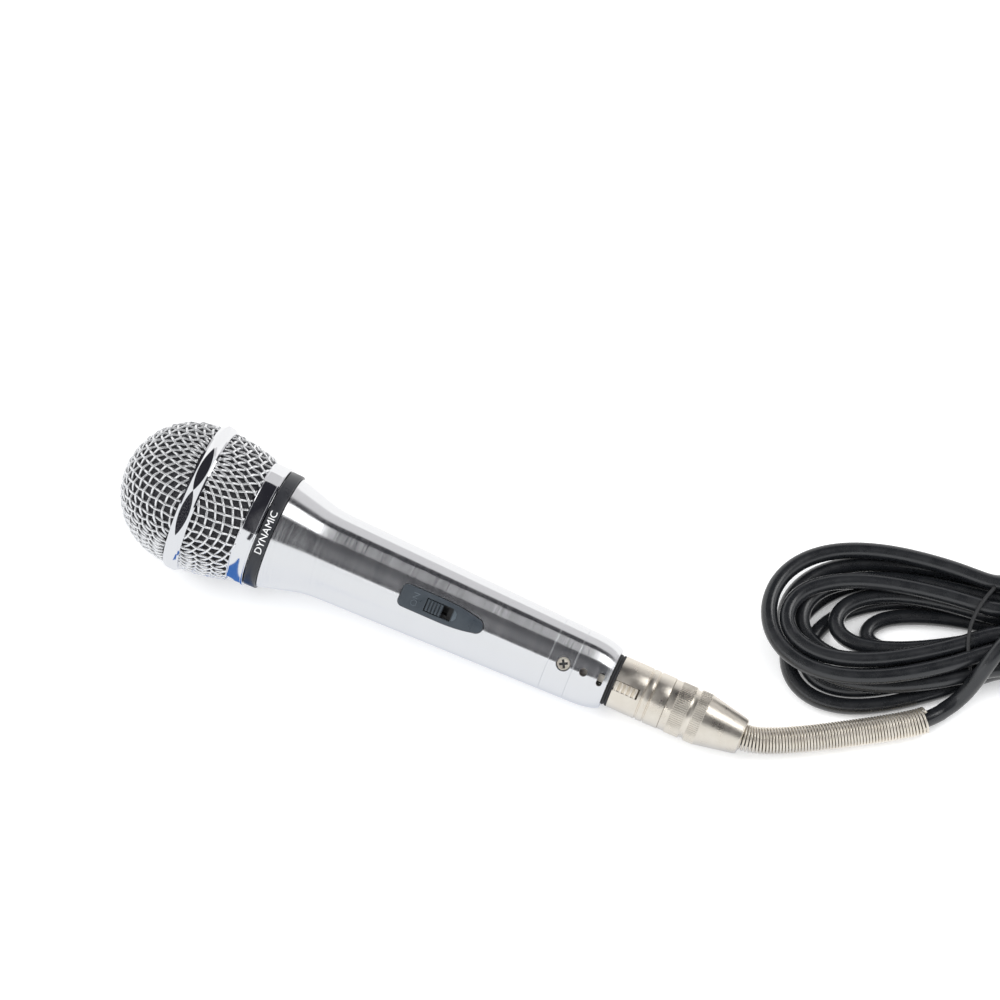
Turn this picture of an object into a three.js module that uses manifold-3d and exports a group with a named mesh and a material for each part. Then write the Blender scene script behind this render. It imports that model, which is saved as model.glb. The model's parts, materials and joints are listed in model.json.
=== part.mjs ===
// A handheld dynamic microphone with its cable, lying on a table.
// Millimetres. +X runs from the grille towards the cable, +Z is up and the table is z = 0.
// The microphone rests on a flat of the grille band and on the back nut of the cable connector.

import * as THREE from 'three';
import { mergeVertices } from 'three/addons/utils/BufferGeometryUtils.js';
import Module from 'manifold-3d';

const wasm = await Module();
wasm.setup();

// ---- driving dimensions ----
const gap = 0.3;                    // clearance between pieces that touch
const reach = 40;                   // length of a cutter that has to pass right through
const pocketReach = 5;              // of a cutter that opens only one side of the handle
const sidesLarge = 32;              // of a turned piece, by its size
const sidesMedium = 24;
const sidesSmall = 12;
const cableSides = 10;

const domeRadius = 24.7;
const gaugeOfMesh = 1.2;            // thickness of the woven wire
const foamThickness = 2.2;

const bandWidth = 5.5;
const bandProud = 2.3;              // of the points of its flats over the dome
const bandFlats = 10;
const bandFlatWidth = 3.3;          // of one flat, along the axis
const bandLip = 1.7;                // how far its two lips stand under the points

const basketLength = 15.6;
const basketEndRadius = 21.7;
const basketBulge = 1.8;            // power of the fall from the band to the collar
const collarLength = 5.7;
const collarRadius = 21.2;
const trimWidth = 4;
const trimRadius = 20.5;

const neckRadius = 18;              // threaded nose of the handle, inside the collar
const neckLength = 9.6;
const handleLength = 121.4;
const handleWall = 1.6;
const flareRadius = 19.6;
const flareConeLength = 13;
const flareConeEndRadius = 16.05;
const flareLength = 21;
const flareEase = { along: 3.3, out: 0.13 };   // of the curve's control from the cone's end and the grip
const gripRadius = 15.12;           // where the flare ends
const gripEndRadius = 12.55;        // where the tail starts to round in
const tailRounding = 10;
const tailEase = { along: 3.1, in: 0.2 };      // of the control from the end and from the grip's end
const tailRadius = 10.6;

const featureAngle = 29;            // degrees from up, of the line of switch, screw and latch
const plateStart = 46.6;            // from the front of the handle
const plateLength = 29.6;
const plateWidth = 7.8;
const plateTipWidth = 5;
const plateStraight = 18.4;         // the stretch before it narrows
const plateCorner = 1.7;
const plateProud = 0.85;
const plateSunk = 0.9;
const windowStart = 9;              // from the start of the plate
const windowLength = 9.5;
const windowWidth = 4.7;
const sliderLength = 5.7;
const sliderProud = 0.6;
const sliderTravel = 3.2;
const sliderRibs = 5;
const ribShare = 0.6;               // of a rib's pitch that the rib fills
const stemWidth = 2;
const stemLength = 2.4;
const stemDepth = 3.8;
const switchBodySize = { length: 20, width: 7, depth: 6 };
const switchBodyDrop = 2.4;         // of its top under the handle's surface

const screwFromEnd = 15.9;
const screwHeadRadius = 2.2;
const screwHeadThickness = 0.75;
const screwShankRadius = 1;
const screwShankLength = 4.4;
const screwCross = { length: 0.65, width: 0.16, depth: 0.6 };   // shares of the head's radius and thickness
const recessDepth = 1.2;
const keyHoleFromEnd = 8.7;
const keyHoleRadius = 1.35;
const latchWindowFromEnd = 2.6;
const latchWindowSize = { along: 2, across: 4.7 };

const insertLength = 6.2;
const pinRadiiInBore = 5.625;       // of the connector's bore, in radii of a pin
const pinInset = 2.85;              // of the pins' circle from the connector's bore
const pinLength = 17;
const pinFromInsert = 2;            // how far the pins start in front of the insert

const capsuleRadius = 15;
const capsuleWall = 0.8;
const capsuleStart = 17.2;
const capsuleLength = 19;
const capsuleStemRadius = 11;
const capsuleStemLength = 13.5;
const wireRadius = 0.6;
// Along the way as a share, out as a multiple of the wires' spacing, and up, from the axis.
const wireSpacing = 2.2;
const wireRoute = [[0, 1, -1], [0.35, 2, -5], [0.7, 1.4, -4], [1, 1, -3]];
const wireClear = { front: 9, rear: 2 };   // from the neck's start and from the insert
const capThickness = 1.2;
const soundHole = { count: 6, radius: 2, circle: 0.55 };        // circle as a share of the capsule's radius
const stemWall = 1;
const diaphragmRise = [0.3, 0.9, 1.3];   // of its front at the coil, at its rim and behind the rim
const coilRadius = 8.5;
const coilWall = 0.8;
const coilLength = 4.5;
const magnetDrop = 1;               // of the magnet's front behind the coil's
const yokeWall = 0.6;
const yokeThickness = 2.5;
const mountFlange = { length: 2, proud: 0.8 };
const mountLength = 7;              // of its sleeve inside the handle
const magnetRadius = 7.1;
const magnetLength = 8.5;

const noseStep = 1.15;              // from the connector's outside to its nose, inside the handle
const noseLength = 13;
const noseWall = 1.2;
const tailBoreDepth = 14;
const tailBoreClearance = 0.45;
const sealRadius = 9;
const sealWidth = 1.5;
const connectorRadius = 9.1;
const connectorWall = 1.5;
const contactWall = 0.4;
const insertPast = 7.5;             // of the contacts' holder behind the nose
const contactPast = 1.5;            // of the contacts behind their holder
const shellLength = 18.1;
const grooveDepth = 0.35;
const grooveWidth = 0.8;
const shellGrooves = [10.2, 13];
const latchWidth = 3.3;
const latchLength = 8.3;
const latchProud = 0.5;
const latchArmWidth = 2.6;
const latchArmLength = 8.5;
const latchArmThickness = 0.8;
const latchRibs = 5;

const bootLength = 27.5;
const bootConeStart = 13.4;
const bootEndRadius = 6.1;
const bootRing = 2.3;
const knurlLength = 5.4;
const knurlGroove = 1.5;
const knurlGrooveDepth = 0.6;
const bootWall = 2;
const chuckLength = 11;

const cableRadius = 2.75;
const springWall = 1.9;
const springInBoot = 8;             // length of the spring that sits in the boot
const springReach = 61.5;           // from the end of the boot, along the cable's heading

const jackRelief = { length: 10, startRadius: 4.2, endRadius: 5.6 };
const jackBarrel = { length: 27.7, radius: 7.2, wall: 1.4 };
const jackContactRadius = 3.175;
const jackSleeveLength = 24.2;
const jackInsulatorLength = 1.2;
const jackTipLength = 8;
const jackRodRadius = 1.3;

// ---- where the cable lies ----
// Points are [along, across, height]: along the cable's heading and square to it,
// from the end of the boot, and above the table.
const cableHeading = 23.6;          // degrees from the +X axis towards +Y
const runPoints = [
  [4, -0.9, 7.4], [10, -1, 6.9], [21, 0.1, 6], [38, 2.6, 5.1], [54, 5.4, 4.8],
  [61.5, 7.4, 4.8], [68, 11, 4], [72.5, 14.6, 3],
];
const tailPoints = [
  [157, 33, 2.75], [163.5, 38, 2.75], [171, 48, 2.75], [175, 59, 3.2], [174.4, 70, 4.8],
  [170.3, 77.3, 6.5], [164.5, 79.5, 7.2], [161, 79.5, 7.2], [154, 79.5, 7.2],
];
const hankCentre = [80, 40.5];
const hankHeight = 17;
const hankQuarter = [[75, 0], [71, 14], [62, 24], [49, 29], [33, 29], [16, 24.5], [0, 19.5]];
const tieThickness = 1.5;
const tieWidth = 1.6;
const tieCorner = 4;
const jackStart = [163, 79.5];

// ---- sizes that follow from others ----
const bandRadius = domeRadius + bandProud;
const noseRadius = connectorRadius - noseStep;
const springRadius = cableRadius + springWall;

// ---- stations along the axis, from the tip of the dome ----
const bandStart = domeRadius + gap;
const bandEnd = bandStart + bandWidth;
const basketStart = bandEnd + gap;
const basketEnd = basketStart + basketLength;
const collarStart = basketEnd + gap;
const collarEnd = collarStart + collarLength;
const trimStart = collarEnd + gap;
const trimEnd = trimStart + trimWidth;
const handleStart = trimEnd + gap;
const neckStart = handleStart - neckLength;
const handleEnd = handleStart + handleLength;
const sealStart = handleEnd + gap;
const shellStart = sealStart + sealWidth + gap;
const shellEnd = shellStart + shellLength;
const noseStart = shellStart - noseLength - sealWidth - gap;
const bootStart = shellEnd + gap;
const bootEnd = bootStart + bootLength;

const tailBoreRadius = noseRadius + tailBoreClearance;
const noseBoreRadius = noseRadius - noseWall;
const pinCircle = noseBoreRadius - pinInset;
const pinRadius = noseBoreRadius / pinRadiiInBore;
const insertEnd = handleEnd - tailBoreDepth - gap;
const insertStart = insertEnd - insertLength;
const springBoreRadius = springRadius + gap;
const cableBoreRadius = cableRadius + gap;
const bandApothem = bandRadius * Math.cos(Math.PI / bandFlats);

// ---- finishes ----
function finish(color, roughness, metalness) {
  return () => new THREE.MeshStandardMaterial({ color, roughness, metalness });
}
const chrome = finish(0xe2e4e8, 0.12, 1);
const wire = finish(0xb9bcc2, 0.3, 1);
const nickel = finish(0xd6cfc2, 0.3, 1);
const blackPlastic = finish(0x2a2c2e, 0.5, 0);
const blackRubber = finish(0x1c1d1e, 0.7, 0);
const foam = finish(0x26272a, 0.95, 0);
const steel = finish(0x8d9095, 0.4, 1);
const copper = finish(0xb4713a, 0.35, 1);

// ---- making solids ----
// A turned piece about the X axis: outer and inner are lists of [station, radius].
function turned(outer, inner = [], sides = sidesLarge) {
  const loop = [...outer, ...[...inner].reverse()];
  if (inner.length) {
    loop.push(outer[0]);
  }
  const points = loop.map(([station, radius]) => new THREE.Vector2(radius, station));
  return new THREE.LatheGeometry(points, sides).rotateZ(-Math.PI / 2);
}

function tubeRing(start, end, outerRadius, innerRadius, sides = sidesLarge) {
  return turned(
    [[start, outerRadius], [end, outerRadius]],
    [[start, innerRadius], [end, innerRadius]],
    sides,
  );
}

function block(x0, x1, y0, y1, z0, z1) {
  const box = new THREE.BoxGeometry(x1 - x0, y1 - y0, z1 - z0);
  return box.translate((x0 + x1) / 2, (y0 + y1) / 2, (z0 + z1) / 2);
}

// A round bar standing along Z at a station.
function post(station, radius, z0, z1, sides = sidesMedium) {
  const bar = new THREE.CylinderGeometry(radius, radius, z1 - z0, sides).rotateX(Math.PI / 2);
  return bar.translate(station, 0, (z0 + z1) / 2);
}

function slab(shape, z0, z1, curveSegments = 6) {
  const body = new THREE.ExtrudeGeometry(shape, { depth: z1 - z0, bevelEnabled: false, curveSegments });
  return body.translate(0, 0, z0);
}

function toSolid(geometry) {
  const bare = geometry.clone();
  bare.deleteAttribute('normal');
  bare.deleteAttribute('uv');
  const merged = mergeVertices(bare, 1e-4);
  const corners = merged.index.array;
  const kept = [];
  for (let i = 0; i < corners.length; i += 3) {
    const [a, b, c] = corners.slice(i, i + 3);
    if (a !== b && b !== c && c !== a) {
      kept.push(a, b, c);
    }
  }
  return new wasm.Manifold(new wasm.Mesh({
    numProp: 3,
    vertProperties: new Float32Array(merged.attributes.position.array),
    triVerts: new Uint32Array(kept),
  }));
}

function toGeometry(solid) {
  const result = solid.getMesh();
  const geometry = new THREE.BufferGeometry();
  geometry.setAttribute('position', new THREE.BufferAttribute(new Float32Array(result.vertProperties), 3));
  geometry.setIndex(new THREE.BufferAttribute(new Uint32Array(result.triVerts), 1));
  geometry.computeVertexNormals();
  return geometry;
}

function cut(geometry, cutters) {
  return toGeometry(cutters.reduce((solid, cutter) => solid.subtract(toSolid(cutter)), toSolid(geometry)));
}

function joined(geometries) {
  const [first, ...others] = geometries.map(toSolid);
  return toGeometry(others.reduce((solid, other) => solid.add(other), first));
}

function addPiece(parent, name, geometry, material) {
  const mesh = new THREE.Mesh(geometry, material());
  mesh.name = name;
  parent.add(mesh);
  return mesh;
}

// ---- grille: two wire cups, the band between them, the collar and the foam ----
function arcProfile(centre, radius, fromTip, steps) {
  return Array.from({ length: steps + 1 }, (_, i) => {
    const angle = (i / steps) * (Math.PI / 2);
    return [centre - radius * Math.cos(angle), fromTip && i === 0 ? 0 : radius * Math.sin(angle)];
  });
}

function grilleDome() {
  const outer = arcProfile(domeRadius, domeRadius, true, 7);
  const inner = arcProfile(domeRadius, domeRadius - gaugeOfMesh, true, 7);
  return turned([...outer, ...inner.reverse()]);
}

// The basket bulges a little between the band and the collar.
function basketRadiusAt(station) {
  const t = (station - basketStart) / basketLength;
  return domeRadius - (domeRadius - basketEndRadius) * t ** basketBulge;
}

function basketProfile(inset, stations) {
  return stations.map((station) => [station, basketRadiusAt(station) - inset]);
}

function basketStations(end) {
  const steps = 4;
  return Array.from({ length: steps + 1 }, (_, i) => basketStart + (end - basketStart) * (i / steps));
}

function grilleBasket() {
  const stations = basketStations(basketEnd);
  return turned(basketProfile(0, stations), basketProfile(gaugeOfMesh, stations));
}

function foamLiner() {
  const outerInset = gaugeOfMesh + gap;
  const innerInset = outerInset + foamThickness;
  const stations = basketStations(basketEnd - gap);
  const outer = [
    ...arcProfile(domeRadius, domeRadius - outerInset, true, 6),
    ...basketProfile(outerInset, stations),
  ];
  const inner = [
    ...arcProfile(domeRadius, domeRadius - innerInset, true, 6),
    ...basketProfile(innerInset, stations),
  ];
  return turned([...outer, ...inner.reverse()], [], sidesMedium);
}

// Ten planes cut the peak of a ridged ring, so each flat is widest at its middle.
function grilleBand() {
  const middle = (bandStart + bandEnd) / 2;
  const shoulder = bandFlatWidth / 2;
  const lipRadius = bandRadius - bandLip - gap;
  const ring = turned(
    [
      [bandStart, lipRadius],
      [middle - shoulder, bandApothem],
      [middle, bandRadius],
      [middle + shoulder, bandApothem],
      [bandEnd, lipRadius],
    ],
    [[bandStart, domeRadius - gaugeOfMesh], [bandEnd, domeRadius - gaugeOfMesh]],
    4 * bandFlats,
  );
  const outline = new THREE.Shape();
  for (let i = 0; i < bandFlats; i += 1) {
    const angle = ((i + 0.5) / bandFlats) * 2 * Math.PI;
    const corner = [bandRadius * Math.sin(angle), bandRadius * Math.cos(angle)];
    if (i === 0) {
      outline.moveTo(...corner);
    } else {
      outline.lineTo(...corner);
    }
  }
  const prism = slab(outline, bandStart - gap, bandEnd + gap)
    .applyMatrix4(new THREE.Matrix4().set(0, 0, 1, 0, 1, 0, 0, 0, 0, 1, 0, 0, 0, 0, 0, 1));
  return toGeometry(toSolid(ring).intersect(toSolid(prism)));
}

function addGrille(parent) {
  addPiece(parent, 'grille_dome', grilleDome(), wire);
  addPiece(parent, 'grille_band', grilleBand(), chrome);
  addPiece(parent, 'grille_basket', grilleBasket(), wire);
  addPiece(parent, 'foam_liner', foamLiner(), foam);
  const collar = tubeRing(collarStart, collarEnd, collarRadius, neckRadius + gap);
  addPiece(parent, 'grille_collar', collar, chrome);
}

// ---- handle ----
function gripSlope() {
  return (gripRadius - gripEndRadius) / (handleLength - tailRounding - flareLength);
}

function handleRadiusAt(station) {
  return gripRadius - gripSlope() * (station - handleStart - flareLength);
}

function handleOuter() {
  const flare = new THREE.QuadraticBezierCurve(
    new THREE.Vector2(flareConeLength, flareConeEndRadius),
    new THREE.Vector2(flareConeLength + flareEase.along, gripRadius + flareEase.out),
    new THREE.Vector2(flareLength, gripRadius),
  );
  const tail = new THREE.QuadraticBezierCurve(
    new THREE.Vector2(handleLength - tailRounding, gripEndRadius),
    new THREE.Vector2(handleLength - tailEase.along, gripEndRadius - tailEase.in),
    new THREE.Vector2(handleLength, tailRadius),
  );
  const curved = [...flare.getPoints(4), ...tail.getPoints(5)];
  return [[0, flareRadius], ...curved.map((point) => [point.x, point.y])]
    .map(([along, radius]) => [handleStart + along, radius]);
}

function handleTube() {
  const boreStart = handleEnd - tailBoreDepth;
  const outer = [[neckStart, neckRadius], [handleStart, neckRadius], ...handleOuter()];
  const neckBore = neckRadius - handleWall;
  const inner = [
    [neckStart, neckBore],
    [handleStart, neckBore],
    [handleStart + flareConeLength, flareConeEndRadius - handleWall],
    [handleStart + flareLength, gripRadius - handleWall],
    [boreStart, handleRadiusAt(boreStart) - handleWall],
    [boreStart, tailBoreRadius],
    [handleEnd, tailBoreRadius],
  ];
  return turned(outer, inner);
}

function plateOutline(grow) {
  const half = plateWidth / 2 + grow;
  const tip = plateTipWidth / 2 + grow;
  const end = plateLength + grow;
  const corner = plateCorner + grow;
  const outline = new THREE.Shape();
  outline.moveTo(-grow, -half + corner);
  outline.quadraticCurveTo(-grow, -half, -grow + corner, -half);
  outline.lineTo(plateStraight, -half);
  outline.lineTo(end - tip, -tip);
  outline.absarc(end - tip, 0, tip, -Math.PI / 2, Math.PI / 2);
  outline.lineTo(plateStraight, half);
  outline.lineTo(-grow + corner, half);
  outline.quadraticCurveTo(-grow, half, -grow, half - corner);
  outline.closePath();
  return outline;
}

// The switch's own frame: x from the start of the plate, z out from the handle's surface.
function switchFrame() {
  const start = handleStart + plateStart;
  const frame = new THREE.Group();
  frame.rotation.y = Math.atan(gripSlope());
  frame.position.set(start, 0, handleRadiusAt(start));
  frame.updateMatrix();
  return frame;
}

function roundedWindow(length, width) {
  const radius = width / 2 - 0.01;
  const outline = new THREE.Shape();
  outline.moveTo(-length / 2 + radius, -width / 2);
  outline.lineTo(length / 2 - radius, -width / 2);
  outline.absarc(length / 2 - radius, 0, width / 2, -Math.PI / 2, Math.PI / 2);
  outline.lineTo(-length / 2 + radius, width / 2);
  outline.absarc(-length / 2 + radius, 0, width / 2, Math.PI / 2, (3 * Math.PI) / 2);
  return outline;
}

function handle(featureLine) {
  const switchMatrix = switchFrame().matrix;
  const windowCut = block(
    windowStart, windowStart + windowLength, -windowWidth / 2, windowWidth / 2, -pocketReach, gap,
  );
  const pocket = slab(plateOutline(gap), -plateSunk - gap, pocketReach);
  const screwStation = handleEnd - screwFromEnd;
  const screwSurface = handleRadiusAt(screwStation);
  const recess = post(screwStation, screwHeadRadius + gap, screwSurface - recessDepth, reach);
  const screwHole = post(screwStation, screwShankRadius + gap, 0, reach, sidesSmall);
  const keyHole = post(handleEnd - keyHoleFromEnd, keyHoleRadius, 0, reach, sidesSmall);
  const latchWindow = slab(roundedWindow(latchWindowSize.across, latchWindowSize.along), 0, reach)
    .rotateZ(Math.PI / 2)
    .translate(handleEnd - latchWindowFromEnd, 0, 0);
  const cutters = [
    windowCut.applyMatrix4(switchMatrix),
    pocket.applyMatrix4(switchMatrix),
    recess, screwHole, keyHole, latchWindow,
  ].map((cutter) => cutter.applyMatrix4(featureLine.matrix));
  return cut(handleTube(), cutters);
}

// ---- switch ----
function sliderCap() {
  const start = windowStart + gap;
  const half = windowWidth / 2 - gap;
  const top = plateProud + sliderProud;
  const base = block(start, start + sliderLength, -half, half, -plateSunk, plateProud);
  const stemStart = start + (sliderLength - stemLength) / 2;
  const stemEnd = stemStart + stemLength;
  const stem = block(
    stemStart, stemEnd, -stemWidth / 2, stemWidth / 2, -plateSunk - stemDepth, -plateSunk + 0.1,
  );
  const pitch = sliderLength / sliderRibs;
  const ribs = Array.from({ length: sliderRibs }, (_, i) => {
    const ribStart = start + (i + (1 - ribShare) / 2) * pitch;
    return block(ribStart, ribStart + ribShare * pitch, -half, half, 0, top);
  });
  return joined([base, stem, ...ribs]);
}

function switchBody() {
  const { length, width, depth } = switchBodySize;
  const middle = windowStart + windowLength / 2;
  const top = -switchBodyDrop;
  const stemStart = windowStart + gap + (sliderLength - stemLength) / 2;
  const slot = block(
    stemStart - gap, stemStart + stemLength + sliderTravel + gap,
    -stemWidth / 2 - gap, stemWidth / 2 + gap,
    -plateSunk - stemDepth - gap, 0,
  );
  const body = block(middle - length / 2, middle + length / 2, -width / 2, width / 2, top - depth, top);
  return cut(body, [slot]);
}

function addSwitch(parent) {
  const frame = switchFrame();
  parent.add(frame);
  const opening = block(
    windowStart, windowStart + windowLength, -windowWidth / 2, windowWidth / 2, -reach, reach,
  );
  const plate = cut(slab(plateOutline(0), -plateSunk, plateProud), [opening]);
  addPiece(frame, 'switch_plate', plate, blackPlastic);
  addPiece(frame, 'switch_slider', sliderCap(), blackPlastic);
  addPiece(frame, 'switch_body', switchBody(), blackPlastic);
}

// ---- tail of the handle: male insert, pins and the screw that holds them ----
function pinPlace(index) {
  const angle = Math.PI / 2 + (index * 2 * Math.PI) / 3;
  return [pinCircle * Math.cos(angle), pinCircle * Math.sin(angle)];
}

function pinHole(index, start, end, radius) {
  const [y, z] = pinPlace(index);
  return turned([[start, 0], [start, radius], [end, radius], [end, 0]], [], sidesSmall).translate(0, y, z);
}

function addTail(parent) {
  const insertRadius = handleRadiusAt(insertEnd) - handleWall - gap;
  const disc = turned([
    [insertStart, 0], [insertStart, insertRadius], [insertEnd, insertRadius], [insertEnd, 0],
  ]);
  const screwStation = handleEnd - screwFromEnd;
  const headTop = handleRadiusAt(screwStation) - recessDepth + gap + screwHeadThickness;
  const shankEnd = headTop - screwHeadThickness - screwShankLength;
  const holes = [0, 1, 2].map((i) => pinHole(i, insertStart - gap, insertEnd + gap, pinRadius + gap));
  const screwSocket = post(screwStation, screwShankRadius + gap, shankEnd - gap, reach, sidesSmall);
  addPiece(parent, 'xlr_insert', cut(disc, [...holes, screwSocket]), blackPlastic);
  for (let i = 0; i < 3; i += 1) {
    const start = insertStart - pinFromInsert;
    const pin = pinHole(i, start, start + pinLength + gap, pinRadius);
    addPiece(parent, `xlr_pin_${i + 1}`, pin, nickel);
  }
  const head = post(screwStation, screwHeadRadius, headTop - screwHeadThickness, headTop);
  const shank = post(screwStation, screwShankRadius, shankEnd, headTop - 0.1, sidesSmall);
  const slotLength = screwHeadRadius * screwCross.length;
  const slotWidth = screwHeadRadius * screwCross.width;
  const slotFloor = headTop - screwHeadThickness * screwCross.depth;
  const cross = [[slotLength, slotWidth], [slotWidth, slotLength]].map(([x, y]) => (
    block(screwStation - x, screwStation + x, -y, y, slotFloor, headTop + gap)));
  addPiece(parent, 'tail_screw', cut(joined([head, shank]), cross), chrome);
}

// ---- capsule inside the grille ----
function addCapsule(parent) {
  const housingStart = capsuleStart + capThickness + gap;
  const housingEnd = capsuleStart + capsuleLength;
  const bore = capsuleRadius - capsuleWall;
  const stemBore = capsuleStemRadius - stemWall;
  const capBlank = turned([
    [capsuleStart, 0], [capsuleStart, capsuleRadius],
    [capsuleStart + capThickness, capsuleRadius], [capsuleStart + capThickness, 0],
  ], [], sidesMedium);
  const holeCircle = capsuleRadius * soundHole.circle;
  const soundHoles = Array.from({ length: soundHole.count }, (_, i) => {
    const angle = (i / soundHole.count) * 2 * Math.PI;
    return post(0, soundHole.radius, -reach, reach, sidesSmall)
      .rotateY(Math.PI / 2)
      .translate(capsuleStart, holeCircle * Math.cos(angle), holeCircle * Math.sin(angle));
  });
  addPiece(parent, 'capsule_cap', cut(capBlank, soundHoles), steel);

  const housing = turned(
    [[housingStart, capsuleRadius], [housingEnd, capsuleRadius],
      [housingEnd, capsuleStemRadius], [housingEnd + capsuleStemLength, capsuleStemRadius]],
    [[housingStart, bore], [housingEnd - capsuleWall, bore],
      [housingEnd - capsuleWall, stemBore], [housingEnd + capsuleStemLength, stemBore]],
    sidesMedium,
  );
  addPiece(parent, 'capsule_housing', housing, blackPlastic);

  const coneStart = housingStart + gap;
  const diaphragmRadius = bore - gap;
  const [atCoil, atRim, behindRim] = diaphragmRise.map((rise) => coneStart + rise);
  const thickness = behindRim - atRim;
  const diaphragm = turned([
    [coneStart, 0], [atCoil, coilRadius], [atRim, diaphragmRadius],
    [behindRim, diaphragmRadius], [atCoil + thickness, coilRadius - 0.1], [coneStart + thickness, 0],
  ], [], sidesMedium);
  addPiece(parent, 'diaphragm', diaphragm, blackPlastic);

  const coilStart = behindRim + gap;
  const coil = tubeRing(coilStart, coilStart + coilLength, coilRadius, coilRadius - coilWall, sidesMedium);
  addPiece(parent, 'voice_coil', coil, copper);

  const magnetStart = coilStart + magnetDrop;
  const magnetEnd = magnetStart + magnetLength;
  const magnet = turned([
    [magnetStart, 0], [magnetStart, magnetRadius], [magnetEnd, magnetRadius], [magnetEnd, 0],
  ], [], sidesMedium);
  addPiece(parent, 'magnet', magnet, steel);
  const yokeBase = magnetEnd + gap;
  const yokeEnd = yokeBase + yokeThickness;
  const yoke = turned([
    [yokeBase, 0], [yokeBase, coilRadius + yokeWall], [magnetStart, coilRadius + yokeWall],
    [magnetStart, bore - gap], [yokeEnd, bore - gap], [yokeEnd, 0],
  ], [], sidesMedium);
  addPiece(parent, 'magnet_yoke', yoke, steel);

  const flangeEnd = neckStart - gap;
  const sleeveRadius = neckRadius - handleWall - gap;
  const mountBore = capsuleStemRadius + gap;
  const flangeStart = flangeEnd - mountFlange.length;
  const mountEnd = flangeEnd + mountLength;
  const shockMount = turned(
    [[flangeStart, sleeveRadius + mountFlange.proud], [flangeEnd, sleeveRadius + mountFlange.proud],
      [flangeEnd, sleeveRadius], [mountEnd, sleeveRadius]],
    [[flangeStart, mountBore], [mountEnd, mountBore]],
    sidesMedium,
  );
  addPiece(parent, 'shock_mount', shockMount, blackRubber);
}

// ---- two wires from the capsule to the male insert ----
function addWires(parent) {
  const section = circleShape(wireRadius, 8);
  const start = neckStart + wireClear.front;
  const end = insertStart - gap - wireClear.rear;
  [['wire_hot', wireSpacing], ['wire_ground', -wireSpacing]].forEach(([name, side]) => {
    const curve = new THREE.CatmullRomCurve3(wireRoute.map(([share, out, up]) => (
      new THREE.Vector3(start + (end - start) * share, side * out, up))));
    const body = new THREE.ExtrudeGeometry(section, { steps: 10, bevelEnabled: false, extrudePath: curve });
    addPiece(parent, name, body, copper);
  });
}

// ---- cable connector ----
function shellTube() {
  const outer = [[noseStart, noseRadius], [shellStart, noseRadius], [shellStart, connectorRadius]];
  for (const along of shellGrooves) {
    const start = shellStart + along;
    outer.push(
      [start, connectorRadius], [start, connectorRadius - grooveDepth],
      [start + grooveWidth, connectorRadius - grooveDepth], [start + grooveWidth, connectorRadius],
    );
  }
  outer.push([shellEnd, connectorRadius]);
  const rearBore = connectorRadius - connectorWall;
  const inner = [
    [noseStart, noseBoreRadius], [shellStart, noseBoreRadius], [shellStart, rearBore], [shellEnd, rearBore],
  ];
  return turned(outer, inner);
}

function latchBounds() {
  const armTop = noseRadius;
  return {
    armStart: shellStart - latchArmLength,
    start: shellStart + gap,
    end: shellStart + gap + latchLength,
    bottom: armTop - latchArmThickness,
    armTop,
  };
}

function latch() {
  const { armStart, start, end, bottom, armTop } = latchBounds();
  const half = latchWidth / 2;
  const armHalf = latchArmWidth / 2;
  const crown = connectorRadius + latchProud;
  const button = block(start, end, -half, half, bottom, connectorRadius);
  const arm = block(armStart, start + 1, -armHalf, armHalf, bottom, armTop - 0.05);
  const pitch = latchLength / latchRibs;
  const ribs = Array.from({ length: latchRibs }, (_, i) => {
    const ribStart = start + (i + (1 - ribShare) / 2) * pitch;
    return block(ribStart, ribStart + ribShare * pitch, -half, half, bottom, crown);
  });
  return joined([button, arm, ...ribs]);
}

function addConnector(parent) {
  const seal = tubeRing(sealStart, sealStart + sealWidth, sealRadius, noseRadius + gap);
  addPiece(parent, 'tail_ring', seal, blackRubber);

  const { armStart, end } = latchBounds();
  const slotHalf = latchWidth / 2 + gap;
  const slot = block(armStart - gap, end + gap, -slotHalf, slotHalf, noseBoreRadius - 1, reach);
  addPiece(parent, 'connector_shell', cut(shellTube(), [slot]), nickel);

  const insertRadius = noseBoreRadius - gap;
  const from = noseStart + gap;
  const to = shellStart + insertPast;
  const disc = turned([[from, 0], [from, insertRadius], [to, insertRadius], [to, 0]], [], sidesMedium);
  const contactBore = pinRadius + gap;
  const contactRadius = contactBore + contactWall;
  const holes = [0, 1, 2].map((i) => pinHole(i, from - 1, to + 1, contactRadius + gap));
  addPiece(parent, 'connector_insert', cut(disc, holes), blackPlastic);
  for (let i = 0; i < 3; i += 1) {
    const [y, z] = pinPlace(i);
    const contact = tubeRing(from + gap, to + contactPast, contactRadius, contactBore, sidesSmall);
    addPiece(parent, `connector_contact_${i + 1}`, contact.translate(0, y, z), nickel);
  }
}

function boot() {
  const knurlTwo = bootRing + knurlLength + knurlGroove;
  const groove = connectorRadius - knurlGrooveDepth;
  const outer = [
    [0, connectorRadius - 0.2], [bootRing, connectorRadius - 0.2],
    [bootRing, connectorRadius], [bootRing + knurlLength, connectorRadius],
    [bootRing + knurlLength, groove], [knurlTwo, groove],
    [knurlTwo, connectorRadius], [bootConeStart, connectorRadius],
    [bootLength - 0.8, bootEndRadius + 0.2], [bootLength, bootEndRadius - 0.6],
  ];
  const chamberEnd = chuckLength + 1;
  const springSeat = bootLength - springInBoot - gap;
  const inner = [
    [0, connectorRadius - bootWall], [chamberEnd, connectorRadius - bootWall],
    [chamberEnd + 4, cableBoreRadius], [springSeat, cableBoreRadius],
    [springSeat, springBoreRadius], [bootLength, springBoreRadius],
  ];
  const place = ([along, radius]) => [bootStart + along, radius];
  return turned(outer.map(place), inner.map(place));
}

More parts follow.
